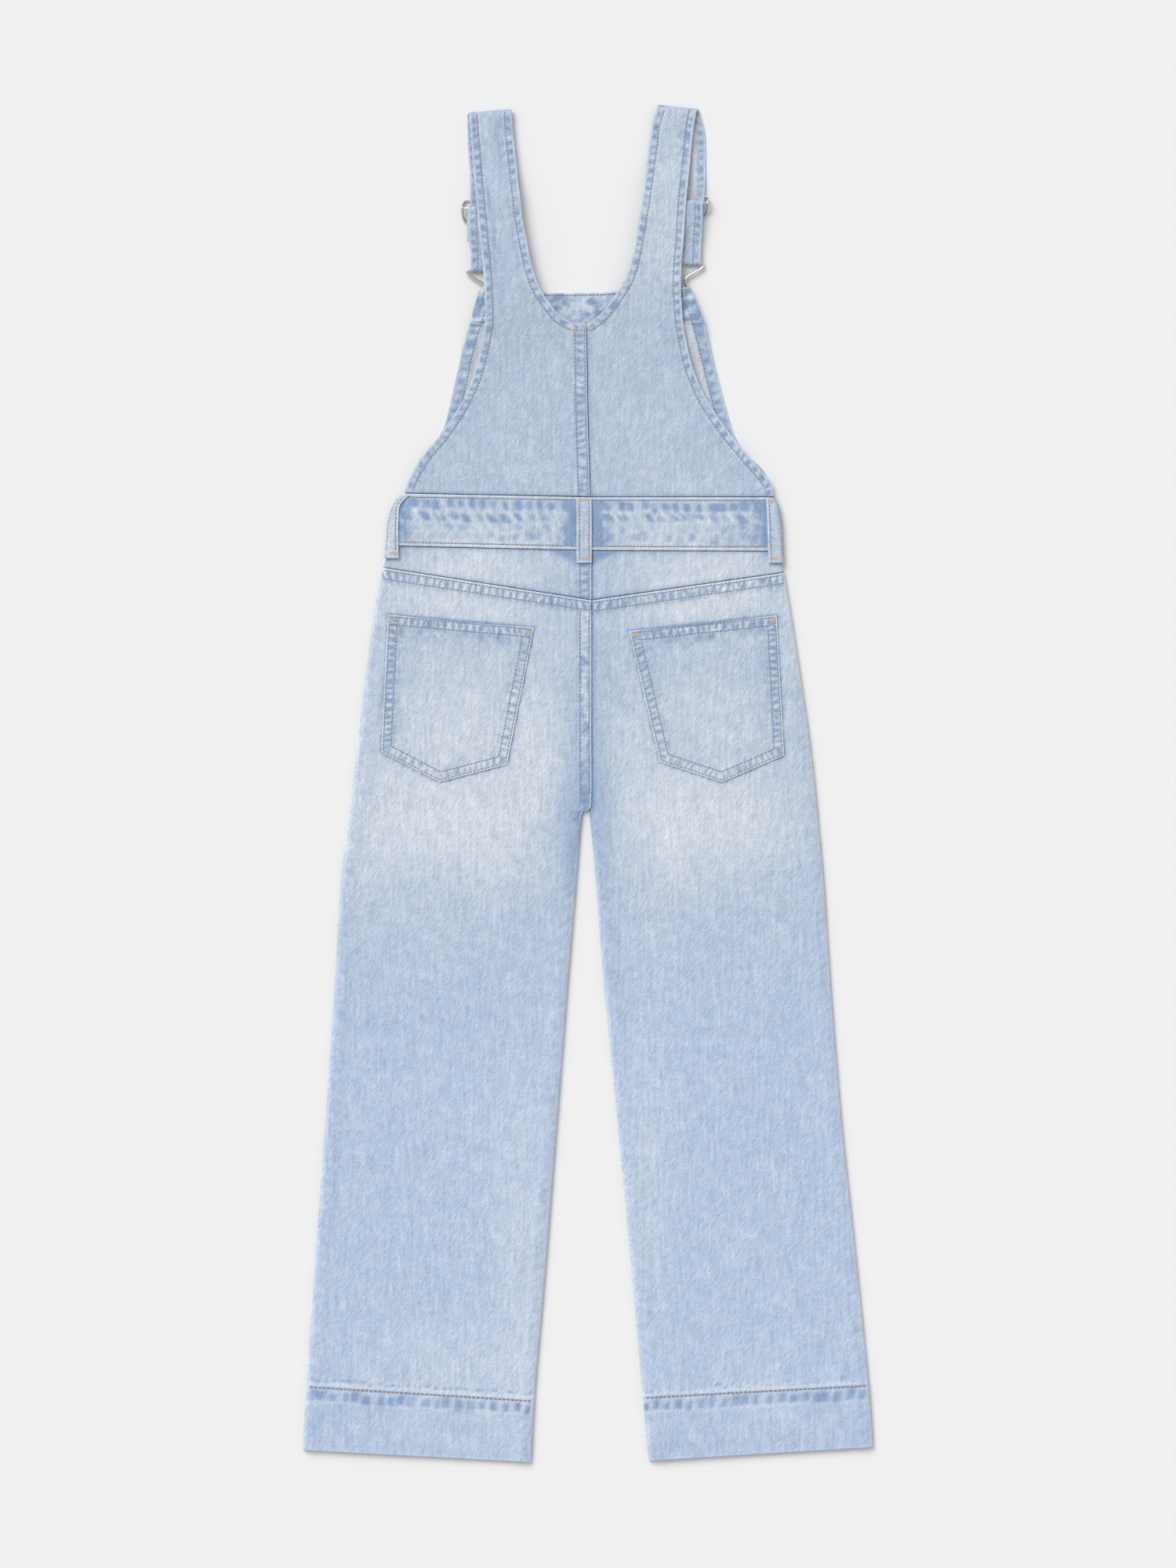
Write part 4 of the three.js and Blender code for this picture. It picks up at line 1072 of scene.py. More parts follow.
def leg_hem(sheet, seed):
    """The turned-up hem: a worn ridge over its stitch, painted shade in the stitch's groove, puckers below
    and small ones above.
    """
    hem = sheet.end - LEG_HEM
    puckers = ropes(sheet.x + 0.2 * hem, 10.4, seed + 20)
    small = ropes(sheet.x - 0.5 * hem, 6.4, seed + 21)
    below = dark_cells(sheet.x, -hem, 6.6, 9.2, 6.8, 9.4, -0.15, 0.75, 1.15, seed + 24)
    above = dark_cells(sheet.x, hem, 5.6, 5.8, 4.2, 2.8, 0.5, 0.35, 1.0, seed + 25)
    folded = bell(-hem - 11.6 - noise1(sheet.x / 12, seed + 26), 1.1)
    ridge = bell(hem - 2.6, 1.7)
    under = plateau(-hem, 0.3, 1.6, 7, 13)
    over = plateau(hem, 4.2, 5.4, 7.5, 14)
    # painted shade in the groove of the hem's stitch row, which the relief also sinks
    shaded_groove = bell(hem, 0.7)
    uneven = 0.75 + 0.25 * noise1(sheet.x / 17, seed + 22)
    sheet.tone += 0.75 * ridge - 0.45 * shaded_groove + 0.55 * uneven * folded - below - above
    sheet.tone += uneven * (under * (0.2 * puckers + 0.25) + over * (0.3 * small + 0.1))
    sheet.tone -= 0.05 * ramp(-hem, 0, 2)
    sheet.tone += 0.16 * blotches(hem, sheet.x, 14, 7, seed + 23) * ramp(-hem, 0, 2)
    sheet.tone += 0.45 * fall(sheet.end, 0.4, 1.8)
    sheet.relief += 0.3 * ridge - 0.3 * shaded_groove + 0.22 * under * puckers + 0.1 * over * small


def side_margins(sheet, outer, middle, seed):
    """The side seams' turned-in margins, which show through as faint ropes."""
    for distance, share, shift in ((outer, 1.0, 30), (middle, ramp(-34 - sheet.y, 0, 24), 31)):
        faint = ropes(sheet.y + 0.6 * distance, 9.5, seed + shift)
        margin = plateau(distance, 1.5, 4, 7, 13)
        sheet.tone += share * (margin * (0.22 * faint - 0.04) + 0.5 * fall(distance, 0.6, 4.0))
        sheet.relief += 0.1 * share * margin * faint


def back_leg(name, table, is_left, seed):
    sheet = Sheet(table, row_step=3.2, fine=[(0, 66, 1.0), (645, 2000, 1.3)])
    outer, middle = outer_and_middle(sheet, is_left)
    sheet.point[..., 2] = leg_height(outer, middle, sheet.x, sheet.y)
    seam(sheet, sheet.start, sheet.x, YOKE_STITCHES, 5.6, seed, deep=1.7)
    lapped = middle_seam(sheet, middle, 1 - below_crotch(sheet.y), is_left, seed)
    crotch_shadow(sheet, middle, is_left)
    sheet.tone += pocket_shadow(sheet, POCKET_LEFT if is_left else POCKET_RIGHT)
    leg_hem(sheet, seed)
    side_margins(sheet, outer, middle, seed)
    yoke_margin = raised(sheet.start, YOKE_SEAM_WIDTH, FELLED_RISE)
    rise = np.maximum.reduce([yoke_margin, raised(sheet.end, LEG_HEM, LEG_HEM_RISE), lapped])
    sheet.wall(DENIM + rise, 0, DENIM)
    grey = 0.9 * ramp(sheet.y, -250, 0)
    made = cloth_object(name, sheet, fade(sheet.x, sheet.y), (0.0, 1.0), grey)
    for place in YOKE_STITCHES:
        leg_sewing.run(*row_line(sheet, place, 1.2, 1.2))
    for place in (LEG_HEM - 0.35, LEG_HEM + 0.35):
        leg_sewing.run(*row_line(sheet, sheet.total - place, 1.5, 1.5), pitch=3.4)
    if is_left:
        for place in FELLED_STITCHES:
            leg_sewing.run(*column_line(sheet, "right", place, *LEG_SEAM))


back_leg("back_leg_left", BACK_LEG_LEFT, True, 100)
back_leg("back_leg_right", BACK_LEG_RIGHT, False, 200)


def yoke(name, table, is_left, seed):
    sheet = Sheet(table, reach=12, edge_step=1.0, step=2.2, row_step=1.5)
    outer, middle = outer_and_middle(sheet, is_left)
    sheet.point[..., 2] = BACK_UNDER - 1.5 * roll(outer)
    lapped = 0
    if is_left:
        seam(sheet, middle, sheet.y, FELLED_STITCHES, 5.8, seed, deep=1.0)
        lapped = raised(middle, FELLED_WIDTH, FELLED_RISE)
    else:
        lap_shadow(sheet, middle)
    lap_shadow(sheet, sheet.start, 0.9)
    lap_shadow(sheet, sheet.end, 1.0)
    reach = 8 + 16 * ramp(sheet.y, 172, 189)
    loop_dark = np.exp(-(((sheet.x + 3) / reach) ** 4)) * ramp(sheet.y, 170, 184)
    end_dark = bell(outer, 16) * bell(sheet.y - 186, 9)
    sheet.tone -= 1.3 * loop_dark + 0.7 * end_dark
    sheet.tone += 0.12 * blotches(sheet.y, sheet.x, 9, 9, seed + 6)
    sheet.relief += 0.12 * noise2(sheet.x / 11, sheet.y / 9, seed + 3)
    sheet.wall(DENIM + lapped, 0, DENIM)
    made = cloth_object(name, sheet, fade(sheet.x, sheet.y), (0.0, 1.0))
    if is_left:
        for place in FELLED_STITCHES:
            leg_sewing.run(*column_line(sheet, "right", place, *YOKE_SEAM))


yoke("yoke_left", YOKE_LEFT, True, 300)
yoke("yoke_right", YOKE_RIGHT, False, 310)


def front_leg(name, table, is_left):
    """Beneath: its right side lies on the surface and its wrong side looks up."""
    sheet = Sheet(table, reach=8, edge_step=2.0, step=5.5, row_step=5.0)
    outer, middle = outer_and_middle(sheet, is_left)
    sheet.point[..., 2] = 0.4 * (roll(outer) + below_crotch(sheet.y) * roll(middle))
    sheet.tone += 0.3 * fall(outer, 0.6, 2.0)
    sheet.wall(DENIM + 0 * sheet.x, 0, DENIM)
    made = cloth_object(name, sheet, fade(sheet.x, sheet.y), (1.0, 0.0), 0.0)


front_leg("front_leg_left", FRONT_LEG_LEFT, True)
front_leg("front_leg_right", FRONT_LEG_RIGHT, False)
leg_sewing.build()


# Pockets: five straight edges, sewn twice round the sides and across the top hem

POCKET_STITCHES = (1.6, 7.9)
TOP_HEM = 4
pocket_sewing = Sewing("stitches_pockets", thread)


def pocket_under(x, y):
    """The height of a pocket's lower face above the leg that it lies on."""
    return BACK_UNDER + DENIM + wave(x, y) + LAID_GAP


def on_pocket(points, rise):
    """Points of the plane laid on a pocket's face, with the way up there."""
    height = pocket_under(points[:, 0], points[:, 1]) + POCKET + rise
    return np.column_stack([points, height]), upright(len(points))


def sew_straight(a, b, rise):
    pocket_sewing.run(*on_pocket(a + (b - a) * np.linspace(0, 1, 60)[:, None], rise))


def sew_pocket(corners, along, inward):
    """Two rows round the sides and two across the top hem, with a bar tack at each of its ends."""
    def inset(k, distance):
        """Where the line inside edge k meets the line inside the edge before it."""
        base = np.array([along[k - 1], along[k]]).T
        start = corners[k - 1] + inward[k - 1] * distance
        target = corners[k] + inward[k] * distance - start
        part = np.linalg.solve(np.column_stack([base[:, 0], -base[:, 1]]), target)[0]
        return start + along[k - 1] * part

    for place in POCKET_STITCHES:
        first = corners[0] + inward[0] * place + along[0] * 1.5
        last = corners[4] + inward[3] * place - along[3] * 1.5
        path = [first, *(inset(k, place) for k in (1, 2, 3)), last]
        for a, b in zip(path[:-1], path[1:]):
            sew_straight(a, b, 0.1)
        across = inward[4] * place
        sew_straight(corners[4] + across + along[4] * 2.0, corners[0] + across - along[4] * 2.0, 0.3)
    for corner, way in ((corners[4], 1), (corners[0], -1)):
        spot = corner + along[4] * way * 5.0 + inward[4] * 3.2
        tacks.tack(on_pocket(spot[None], 0.45)[0][0], along[4], 7.2, 1.5)


def pocket(name, table, seed):
    sheet = Sheet(table, reach=12, edge_step=1.0, step=1.3, row_step=1.15)
    corners, along, inward = pocket_outline(table)
    here = np.stack([sheet.x, sheet.y], 2)
    distances = [((here - corner) * normal).sum(2) for corner, normal in zip(corners, inward)]
    runs = [((here - corner) * way).sum(2) for corner, way in zip(corners, along)]
    ordered = np.sort(np.stack(distances), axis=0)
    nearest = ordered[0]
    # each point takes the seam of its nearest edge, blended where two edges meet
    inner_side = 3 if name == "pocket_left" else 0
    worn_most = {1: 0.8, 2: 0.85, inner_side: 0.95}
    for k, (distance, run) in enumerate(zip(distances, runs)):
        share = fall(distance - nearest, 0.0, 1.2)
        share = share / (1 + fall(ordered[1] - nearest, 0, 1.2))
        deep = worn_most.get(k, 1.15)
        base = -0.12 if k == TOP_HEM else -0.4 * deep
        seam(sheet, distance, run, POCKET_STITCHES, 5.5, seed + 7 * k, share, deep, base=base)
        if k == TOP_HEM:
            sheet.tone -= share * dark_cells(run, distance, 4.8, 5.4, 3.9, 5.6, 0.15, 0.4, 1.15, seed + 64)
    hem = distances[TOP_HEM]
    under = plateau(hem, 8.6, 10, 12, 24)
    ridges = ropes(sheet.x + 0.8 * sheet.y, 7.4, seed + 60)
    sheet.tone += under * (0.14 * ridges + 0.45 * blotches(hem, sheet.x, 6, 5, seed + 61) - 0.14)
    halo = plateau(nearest, 8.6, 9.6, 9, 22)
    sheet.tone += halo * (0.22 * blotches(nearest, sheet.x - sheet.y, 9, 5, seed + 63) - 0.16)
    sheet.point[..., 2] = pocket_under(sheet.x, sheet.y)
    rise = np.maximum(raised(hem, POCKET_HEM, 0.4), raised(nearest, POCKET_HEM, 0.2))
    sheet.wall(POCKET + rise, 0, POCKET)
    worn = fade(sheet.x, sheet.y) + 0.06 - 0.14 * ramp(sheet.y, 62, 88)
    made = cloth_object(name, sheet, worn, (0.0, 1.0))

    sew_pocket(corners, along, inward)


pocket("pocket_left", POCKET_LEFT, 500)
pocket("pocket_right", POCKET_RIGHT, 560)
pocket_sewing.build()


# Waistband

band_sewing = Sewing("stitches_waistband", thread, 0.46)
BAND_STITCH = 3.1
BAND_HEIGHT = 41
LOOP_X = -3.1

# Rows of dark cells: how far down, spacing, size, lean, the least and most darkness, and a seed
BAND_CELLS = rows("middle spacing width height lean low high seed", [
    (8.4, 9.2, 6.6, 8.8, 0.1, 0.60, 1.30, 601),
    (17.6, 10.4, 7.4, 6.4, 0.6, 0.20, 1.25, 602),
    (25.5, 11.8, 6.0, 5.0, 0.3, 0.05, 0.65, 603),
    (32.4, 9.6, 6.4, 7.0, -0.2, 0.15, 0.85, 604),
])


def pale_ridges(x, depth):
    """Thin worn ridges that run slanted down the middle of the band."""
    random = np.random.default_rng(611)
    total = 0 * x
    for place in np.arange(-156, 150, 8.6):
        start = place + random.uniform(-3, 3), random.uniform(9, 14)
        end = start[0] + random.uniform(3, 10), start[1] + random.uniform(8, 14)
        way = np.array([end[0] - start[0], end[1] - start[1]])
        part = ((x - start[0]) * way[0] + (depth - start[1]) * way[1]) / (way**2).sum()
        across = ((x - start[0]) * way[1] - (depth - start[1]) * way[0]) / np.hypot(*way)
        bend = 1.2 * np.sin(math.pi * np.clip(part, 0, 1)) * random.uniform(-1, 1)
        ends = plateau(part, -0.05, 0.2, 0.7, 1.1)
        total = total + random.uniform(0.4, 1.0) * ends * bell(across - bend, 0.9)
    return np.minimum(total, 1)


def waistband_back():
    sheet = Sheet(BACK_BAND, reach=9, edge_step=0.9, step=1.7, row_step=1.1)
    sheet.point[..., 2] = BACK_UNDER - 1.5 * (roll(sheet.left) + roll(sheet.right))
    depth = sheet.start * BAND_HEIGHT / sheet.total
    for row in zip(*BAND_CELLS.values()):
        sheet.tone -= dark_cells(sheet.x, depth, *row)
    ridges = pale_ridges(sheet.x, depth)
    sheet.tone += 1.0 * ridges + 0.3 * blotches(depth, sheet.x, 4, 4, 622) + 0.1
    sheet.relief += 0.2 * ridges
    for distance in (sheet.start, sheet.end):
        sheet.tone += 0.5 * fall(distance, 1.4, BAND_STITCH - 0.3)
        # painted shade in the groove of each stitch row, which the next line also sinks
        sheet.tone -= 0.4 * bell(distance - BAND_STITCH, 0.8)
        sheet.relief -= 0.25 * bell(distance - BAND_STITCH, 0.6)
    pinched = 1 - 0.35 * bell(depth - 19 - 2 * noise1(sheet.x / 7, 631), 4.5)
    from_loop = np.maximum(np.abs(sheet.x - LOOP_X) - 6, 0)
    beside = fall(from_loop - 1.5 * noise1(depth / 3, 633), 5 * pinched, 12.5 * pinched)
    ends = bell(np.maximum(sheet.left - 8, 0), 9) + bell(np.maximum(sheet.right - 9, 0), 9)
    between_stitches = ramp(sheet.start, 3, 5) * ramp(sheet.end, 3, 5)
    mottled = 1.1 + 0.35 * blotches(depth, sheet.x, 4.5, 5, 632)
    sheet.tone -= (1.9 * beside * mottled + 0.75 * ends) * between_stitches
    sheet.tone -= 0.3 * bell(sheet.x + 6, 36) + 0.4 * ramp(sheet.x, 96, 122)
    sheet.wall(BAND + 0 * sheet.x, 0, BAND)
    made = cloth_object("waistband_back", sheet, fade(sheet.x, sheet.y) + 0.12, (0.0, 0.0))
    for place in (BAND_STITCH, sheet.total - BAND_STITCH):
        band_sewing.run(*row_line(sheet, place, 2, 2), pitch=2.9, gap=0.3)


waistband_back()
band_sewing.build()


def waistband_front():
    sheet = Sheet(FRONT_BAND_ROWS, reach=6, edge_step=1.5, step=4, row_step=3)
    sheet.point[..., 2] = 0
    sheet.wall(FRONT_BAND + 0 * sheet.x, 0, FRONT_BAND)
    made = cloth_object("waistband_front", sheet, fade(sheet.x, sheet.y), (0.0, 0.0))


waistband_front()


# Straps: each turns over the shoulder, round the clip's bar and round the slider's middle bar

def half_turn(start, end, direction, reach, parts):
    """Rows on the half circle from one row to the other, this far out along y."""
    turned = []
    for k in range(1, parts):
        angle = math.pi * k / parts
        mix = (1 - math.cos(angle)) / 2
        out = direction * reach * math.sin(angle)
        row = np.array(start) * (1 - mix) + np.array(end) * mix
        turned.append(tuple(row + (0, out, 0, 0, out, 0)))
    return turned


def cross_line(x, y, z, slope=0.0):
    """A row straight across the strap, or on a slope."""
    lean = STRAP_HALF * slope
    return (x - STRAP_HALF, y - lean, z, x + STRAP_HALF, y + lean, z)


def strap_rows(back_run, front_run, holder):
    """All rows of a bib half with its strap, in the order that the cloth runs."""
    top = back_run[-1]
    slope = math.tan(math.radians(holder["turn"]))
    centre = (front_run[-1][0] + front_run[-1][3]) / 2
    bar_y, (_, middle_y), shift = holder["bar"][1], holder["middle"], holder["shift"]
    down = cross_line(centre, bar_y, CLIP_LOWER, slope)
    up = cross_line(centre, bar_y, CLIP_UPPER, slope)
    centre_up, peek = centre + shift, holder["peek"]
    low = cross_line(centre_up, middle_y, SLIDER_LOWER)
    high = cross_line(centre_up, middle_y, SLIDER_UPPER)
    return [
        *back_run,
        *half_turn(top, front_run[0], 1, (top[2] - front_run[0][2]) / 2, 5),
        *front_run,
        down,
        *half_turn(down, up, -1, (CLIP_UPPER - CLIP_LOWER) / 2, 6),
        up,
        cross_line(centre + 0.2 * shift, bar_y + 12, CLIP_UPPER + 0.1, slope / 2),
        cross_line(centre + 0.6 * shift, middle_y - FLAP, CLIP_UPPER + 0.9),
        cross_line(centre_up, middle_y - 11, SLIDER_UPPER - 0.4),
        high,
        *half_turn(high, low, 1, (SLIDER_UPPER - SLIDER_LOWER) / 2, 6),
        low,
        cross_line(centre_up + peek, middle_y - 10, SLIDER_LOWER - 0.1),
        cross_line(centre_up + peek, middle_y - FLAP, SLIDER_LOWER - 0.4),
    ]


bib_sewing = Sewing("stitches_bibs", thread)
BIB_FELLED_STITCHES = (1.5, 9.4)
# The row where the two halves part at the neck, and how far out the armholes are stitched
BIB_CORNER = 8
ARM_STITCHES = (-140, 141)
# How far the neck edge's line runs on past its lower end, where no cloth is
NECK_RUN_ON = 20


def edge_field(sheet, line, on_back, beyond):
    """How far points are from an edge's line and how far along it; on the strap, from its side."""
    distance, run = distance_to(line[::3], sheet.x, sheet.y)
    return np.where(on_back, distance, beyond), np.where(on_back, run, sheet.start)


def bib_marks(sheet, outer, on_strap, on_back, edges, seed):
    """Long soft streaks, drags beside the hems and a worn ridge beside their stitches."""
    for (distance, run), k in zip(edges, (12, 13)):
        sheet.tone += 0.25 * np.exp(-((distance - STRAP_HEM - 1.6) ** 2) / 1.2)
        drag = ropes(run + 1.3 * distance, 13, seed + k)
        sheet.tone += 0.14 * drag * ramp(distance, STRAP_HEM, STRAP_HEM + 2) * fall(distance, 10, 22)
    sheet.tone += 0.3 * on_strap * noise2(outer / 5.5, sheet.start / 60, seed + 14)
    lap_shadow(sheet, sheet.start, 1.0)
    soft = 0.25 * noise2(sheet.x / 26, sheet.y / 30, seed + 20) * ramp(sheet.start, 4, 30)
    soft = soft * fall(sheet.y, 380, 420)
    sheet.relief += soft + 0.07 * noise2(sheet.x / 6, sheet.start / 15, seed + 21) * on_back


def sew_neck(sheet, neck, rising, on_back, corner_x, is_left):
    inside = sheet.point[rising, sheet.x.shape[1] // 2, :2]
    inside = np.vstack([inside[0], inside]) - (0, 25)
    line = offset(neck, STRAP_HEM, inside)
    closer = np.linspace(0, len(line) - 1, 6 * len(line))
    line = read_off(closer, np.arange(len(line)), line)
    line = line[line[:, 0] < corner_x - 1] if is_left else line[line[:, 0] > corner_x + 1]
    bib_sewing.run(*drape(sheet, line, on_back))


def sew_arm(sheet, arm, on_back):
    line = offset(arm, STRAP_HEM, sheet.point[on_back[:, 0], sheet.x.shape[1] // 2, :2])
    low, high = ARM_STITCHES
    line = line[(line[:, 1] > sheet.y[0, 0] + 1) & (line[:, 0] > low) & (line[:, 0] < high)]
    bib_sewing.run(*drape(sheet, line, on_back))


def sew_bib_seam(sheet, seam_end):
    for place in BIB_FELLED_STITCHES:
        bib_sewing.run(*column_line(sheet, "right", place, 1.0, seam_end))
    for place in (2.2, 9.4):
        line, _ = column_line(sheet, "right", place, seam_end - 4, seam_end)
        tacks.tack(line[-1] + (0, 0.5, 0.15), (0.05, 1), 5.6, 0.9)


def back_bib(name, back_run, front_run, holder, is_left, seed):
    """From the waistband up, over the shoulder fold and back beneath to the clip and the slider."""
    table = rows(STRIP, strap_rows(back_run, front_run, holder))
    sheet = Sheet(table, reach=13, edge_step=0.95, step=4.0, row_step=1.9, fine=[(290, 320, 0.8)])
    sheet.bend_normals()
    half = sheet.y[:, 0].argmax() + 1
    fold = np.interp(back_run[-1][1], sheet.y[:half, 0], sheet.start[:half, 0])
    neck_column, arm_column = (-1, 0) if is_left else (0, -1)
    outer, middle = outer_and_middle(sheet, is_left)
    on_back = sheet.start < fold
    corner_x, corner_y = back_run[BIB_CORNER][3:5] if is_left else back_run[BIB_CORNER][:2]
    past_corner = np.abs(sheet.point[:, neck_column, 0] - corner_x) > 2
    rising = (sheet.point[:, neck_column, 1] >= corner_y) & on_back[:, 0] & past_corner
    neck = sheet.point[rising, neck_column, :2]
    arm = sheet.point[on_back[:, 0], arm_column, :2]
    neck = np.vstack([neck[0] + NECK_RUN_ON * unit(neck[0] - neck[3]), neck])
    neck_distance, neck_run = edge_field(sheet, neck, on_back, middle)
    arm_distance, arm_run = edge_field(sheet, arm, on_back, outer)
    sheet.v = np.where(on_back, sheet.y, sheet.y[0, 0] + sheet.start)
    below = on_back & (sheet.y < corner_y)
    seam_part = ramp(neck_distance, STRAP_HEM, STRAP_HEM + 1) * below
    hem_part = np.where(below, ramp(middle, 0, 0.1), 1)
    seam(sheet, neck_distance, neck_run, (STRAP_HEM,), 7.4, seed, hem_part, deep=1.2)
    seam(sheet, arm_distance, arm_run, (STRAP_HEM,), 7.4, seed + 5, deep=1.2)
    lapped = 0
    if is_left:
        seam(sheet, middle, sheet.start, BIB_FELLED_STITCHES, 6.6, seed + 8, seam_part, deep=1.2)
        lapped = raised(middle, FELLED_WIDTH, 0.4) * seam_part
    else:
        lap_shadow(sheet, middle, seam_part)
    on_strap = ramp(sheet.y, 385, 420) * on_back
    edges = (neck_distance, neck_run), (arm_distance, arm_run)
    bib_marks(sheet, outer, on_strap, on_back, edges, seed)
    hem = np.maximum(raised(neck_distance, STRAP_HEM, 0.3), raised(arm_distance, STRAP_HEM, 0.3))
    hem = hem * np.where(on_back, fall(sheet.y, 470, 530), 0)
    sheet.wall(STRAP / 2 + np.maximum(hem, lapped), STRAP / 2, STRAP)
    turned_in = fall(np.minimum(sheet.left, sheet.right), 7.4, 7.8)
    worn = 0.02 + 0.09 * noise2(sheet.x / 22, sheet.start / 34, seed + 30)
    worn = worn + (-0.03 if is_left else 0.16) * on_strap
    made = cloth_object(name, sheet, worn, (0.0, 1 - turned_in), beneath=0.9)
    # the stitches follow both edges over the back, then run down the strap
    sew_neck(sheet, neck, rising, on_back, corner_x, is_left)
    sew_arm(sheet, arm, on_back)
    for side in ("left", "right"):
        bib_sewing.run(*column_line(sheet, side, STRAP_HEM, fold + 1, sheet.total - 2))
    if is_left:
        corner_start = np.interp(corner_y, sheet.y[:half, -1], sheet.start[:half, -1])
        sew_bib_seam(sheet, corner_start - STRAP_HEM + 1)


back_bib("back_bib_left", BACK_RUN_LEFT, FRONT_RUN_LEFT, HOLDERS["left"], True, 700)
back_bib("back_bib_right", BACK_RUN_RIGHT, FRONT_RUN_RIGHT, HOLDERS["right"], False, 750)


# Front bib: its wrong side looks up, with the turned top band and side hems showing their face

BUTTON_LIFT = 4.8
BIB_STITCHES = 1.9, BIB_HEM - 2
SIDE_STITCH = 9.2
# A small dark spot of painted shade on the hem behind the neck, beside the back bib's neck edge: its place
# and size
NECK_SHADE_X, NECK_SHADE_Y, NECK_SHADE = 17, 386, 6


def button_place(holder):
    turn = math.radians(holder["turn"])
    x, y = holder["bar"]
    return x + CLIP_REACH * math.sin(turn), y - CLIP_REACH * math.cos(turn)


def bib_lift(x, y):
    """How far the front bib lies up on its buttons."""
    rise = 0 * x
    for holder in HOLDERS.values():
        button_x, button_y = button_place(holder)
        distance = np.hypot(x - button_x, y - button_y)
        rise = np.maximum(rise, fall(distance, 16, 62))
    return BUTTON_LIFT * rise


def front_bib():
    sheet = Sheet(FRONT_BIB, reach=14, edge_step=1.0, step=2.2, row_step=2.0, fine=[(0, 34, 1.0)])
    sheet.point[..., 2] = bib_lift(sheet.x, sheet.y)
    nearest = np.minimum(sheet.left, sheet.right)
    sag = 2.6 * (1 - ((sheet.x + 3) / 86) ** 2) * fall(sheet.start, 0, 70)
    sheet.point[..., 1] -= np.maximum(sag, 0)
    below_hem = ramp(sheet.start, BIB_HEM - 1, BIB_HEM + 1)
    for k, distance in enumerate((sheet.left, sheet.right)):
        seam(sheet, distance, sheet.start, (1.6, SIDE_STITCH), 8.0, 800 + k, below_hem, deep=1.3)
    folds = ropes(sheet.x * 0.35 + 1.4 * sheet.start, 12.5, 810)
    band = fall(sheet.start, BIB_HEM - 1.5, BIB_HEM + 0.3)
    mottled = blotches(sheet.start - 0.5 * sheet.x, sheet.x + 0.8 * sheet.start, 6.5, 7.5, 815)
    lines = noise2((sheet.x + 1.1 * sheet.start) / 9, sheet.start / 14, 817)
    veins = np.clip(1 - np.abs(lines) / 0.12, 0, 1)
    sheet.tone += band * (0.6 * folds * fall(nearest, 10, 40) + 1.5 * mottled + 0.8 * veins - 0.34)
    # painted shade beside the back bib's neck edge, which lies over the hem here
    sheet.tone -= 0.6 * np.exp(-(((sheet.x - NECK_SHADE_X) ** 2 + (sheet.y - NECK_SHADE_Y) ** 2) / NECK_SHADE**2))
    on_hem = ramp(nearest, 3, 8) * band
    seam(sheet, sheet.start, sheet.x, BIB_STITCHES, 9.0, 812, on_hem, deep=0.2)
    # painted shade just below the raised edge of the turned top band
    sheet.tone -= 0.9 * bell(sheet.start - BIB_HEM - 1.2, 1.0)
    sheet.relief += 0.2 * band * folds * fall(nearest, 10, 40)
    rise = np.maximum(raised(sheet.start, BIB_HEM, 0.8), raised(nearest, SIDE_HEM, 0.5))
    sheet.wall(DENIM + rise, 0, DENIM)
    shown = np.maximum(band, fall(nearest, SIDE_HEM - 0.3, SIDE_HEM + 0.5))
    made = cloth_object("front_bib", sheet, -0.02 + 0 * sheet.x, (1 - shown, 0.0))
    for place in BIB_STITCHES:
        bib_sewing.run(*row_line(sheet, place, 3, 3))
    spot, _ = column_line(sheet, "right", 6.5, 1.5, 6.5)
    tacks.tack(spot.mean(0) + (0, 0, TACK_LIFT), (0.1, 1), 6.0, 0.8)
    for side in ("left", "right"):
        bib_sewing.run(*column_line(sheet, side, SIDE_STITCH, 2.5, sheet.total - 2))


front_bib()
bib_sewing.build()


# Belt loops

loop_sewing = Sewing("stitches_loops", thread)
BAND_TOP = BACK_UNDER + BAND
LOOP_STITCH, LOOP_TACK = 2.3, 4.0


def loop_finish(name, sheet, seed):
    for k, distance in enumerate((sheet.left, sheet.right)):
        seam(sheet, distance, sheet.start, (LOOP_STITCH,), 5.5, seed + k, deep=0.35)
    sheet.tone += 0.12 * noise2(sheet.u / 3, sheet.start / 6, seed + 4)
    sheet.wall(LOOP + 0 * sheet.x, 0, LOOP)
    made = cloth_object(name, sheet, (0.44 if name == "loop_left" else 0.16) + 0 * sheet.x, (0.0, 0.0))


def tack_across(sheet, place, length=None, width=1.5, left=0.8, right=0.8):
    """A bar tack across a loop, as long as the line that it lies on unless a length is given."""
    line, _ = row_line(sheet, place, left, right)
    length = length or abs(line[0, 0] - line[-1, 0])
    tacks.tack(line.mean(0) + (0, 0, TACK_LIFT), (1, 0), length, width)


def loop_centre():
    high = BAND_TOP + LAID_GAP
    table = rows(STRIP, [
        (-9.4, 229.4, high, 2.9, 229.1, high),
        (-9.2, 205.0, high + 0.5, 3.1, 205.0, high + 0.5),
        (-9.2, 184.0, high, 3.1, 184.0, high),
        (-9.2, 177.2, high - 0.2, 3.1, 177.2, high - 0.2),
    ])
    sheet = Sheet(table, reach=4, edge_step=0.6, step=0.8, row_step=0.9)
    sheet.relief -= 0.3 * bell(sheet.start - 1.6, 1.3)
    sheet.relief -= 0.3 * bell(sheet.end - LOOP_TACK, 1.3)
    sheet.tone -= 0.25 * bell(sheet.end - LOOP_TACK, 2.2)
    loop_finish("loop_centre", sheet, 900)
    for side in ("left", "right"):
        loop_sewing.run(*column_line(sheet, side, LOOP_STITCH, 2.5, sheet.total - 5.5))
    for place in (1.7, sheet.total - LOOP_TACK):
        tack_across(sheet, place, 10.8, 1.6)


loop_centre()

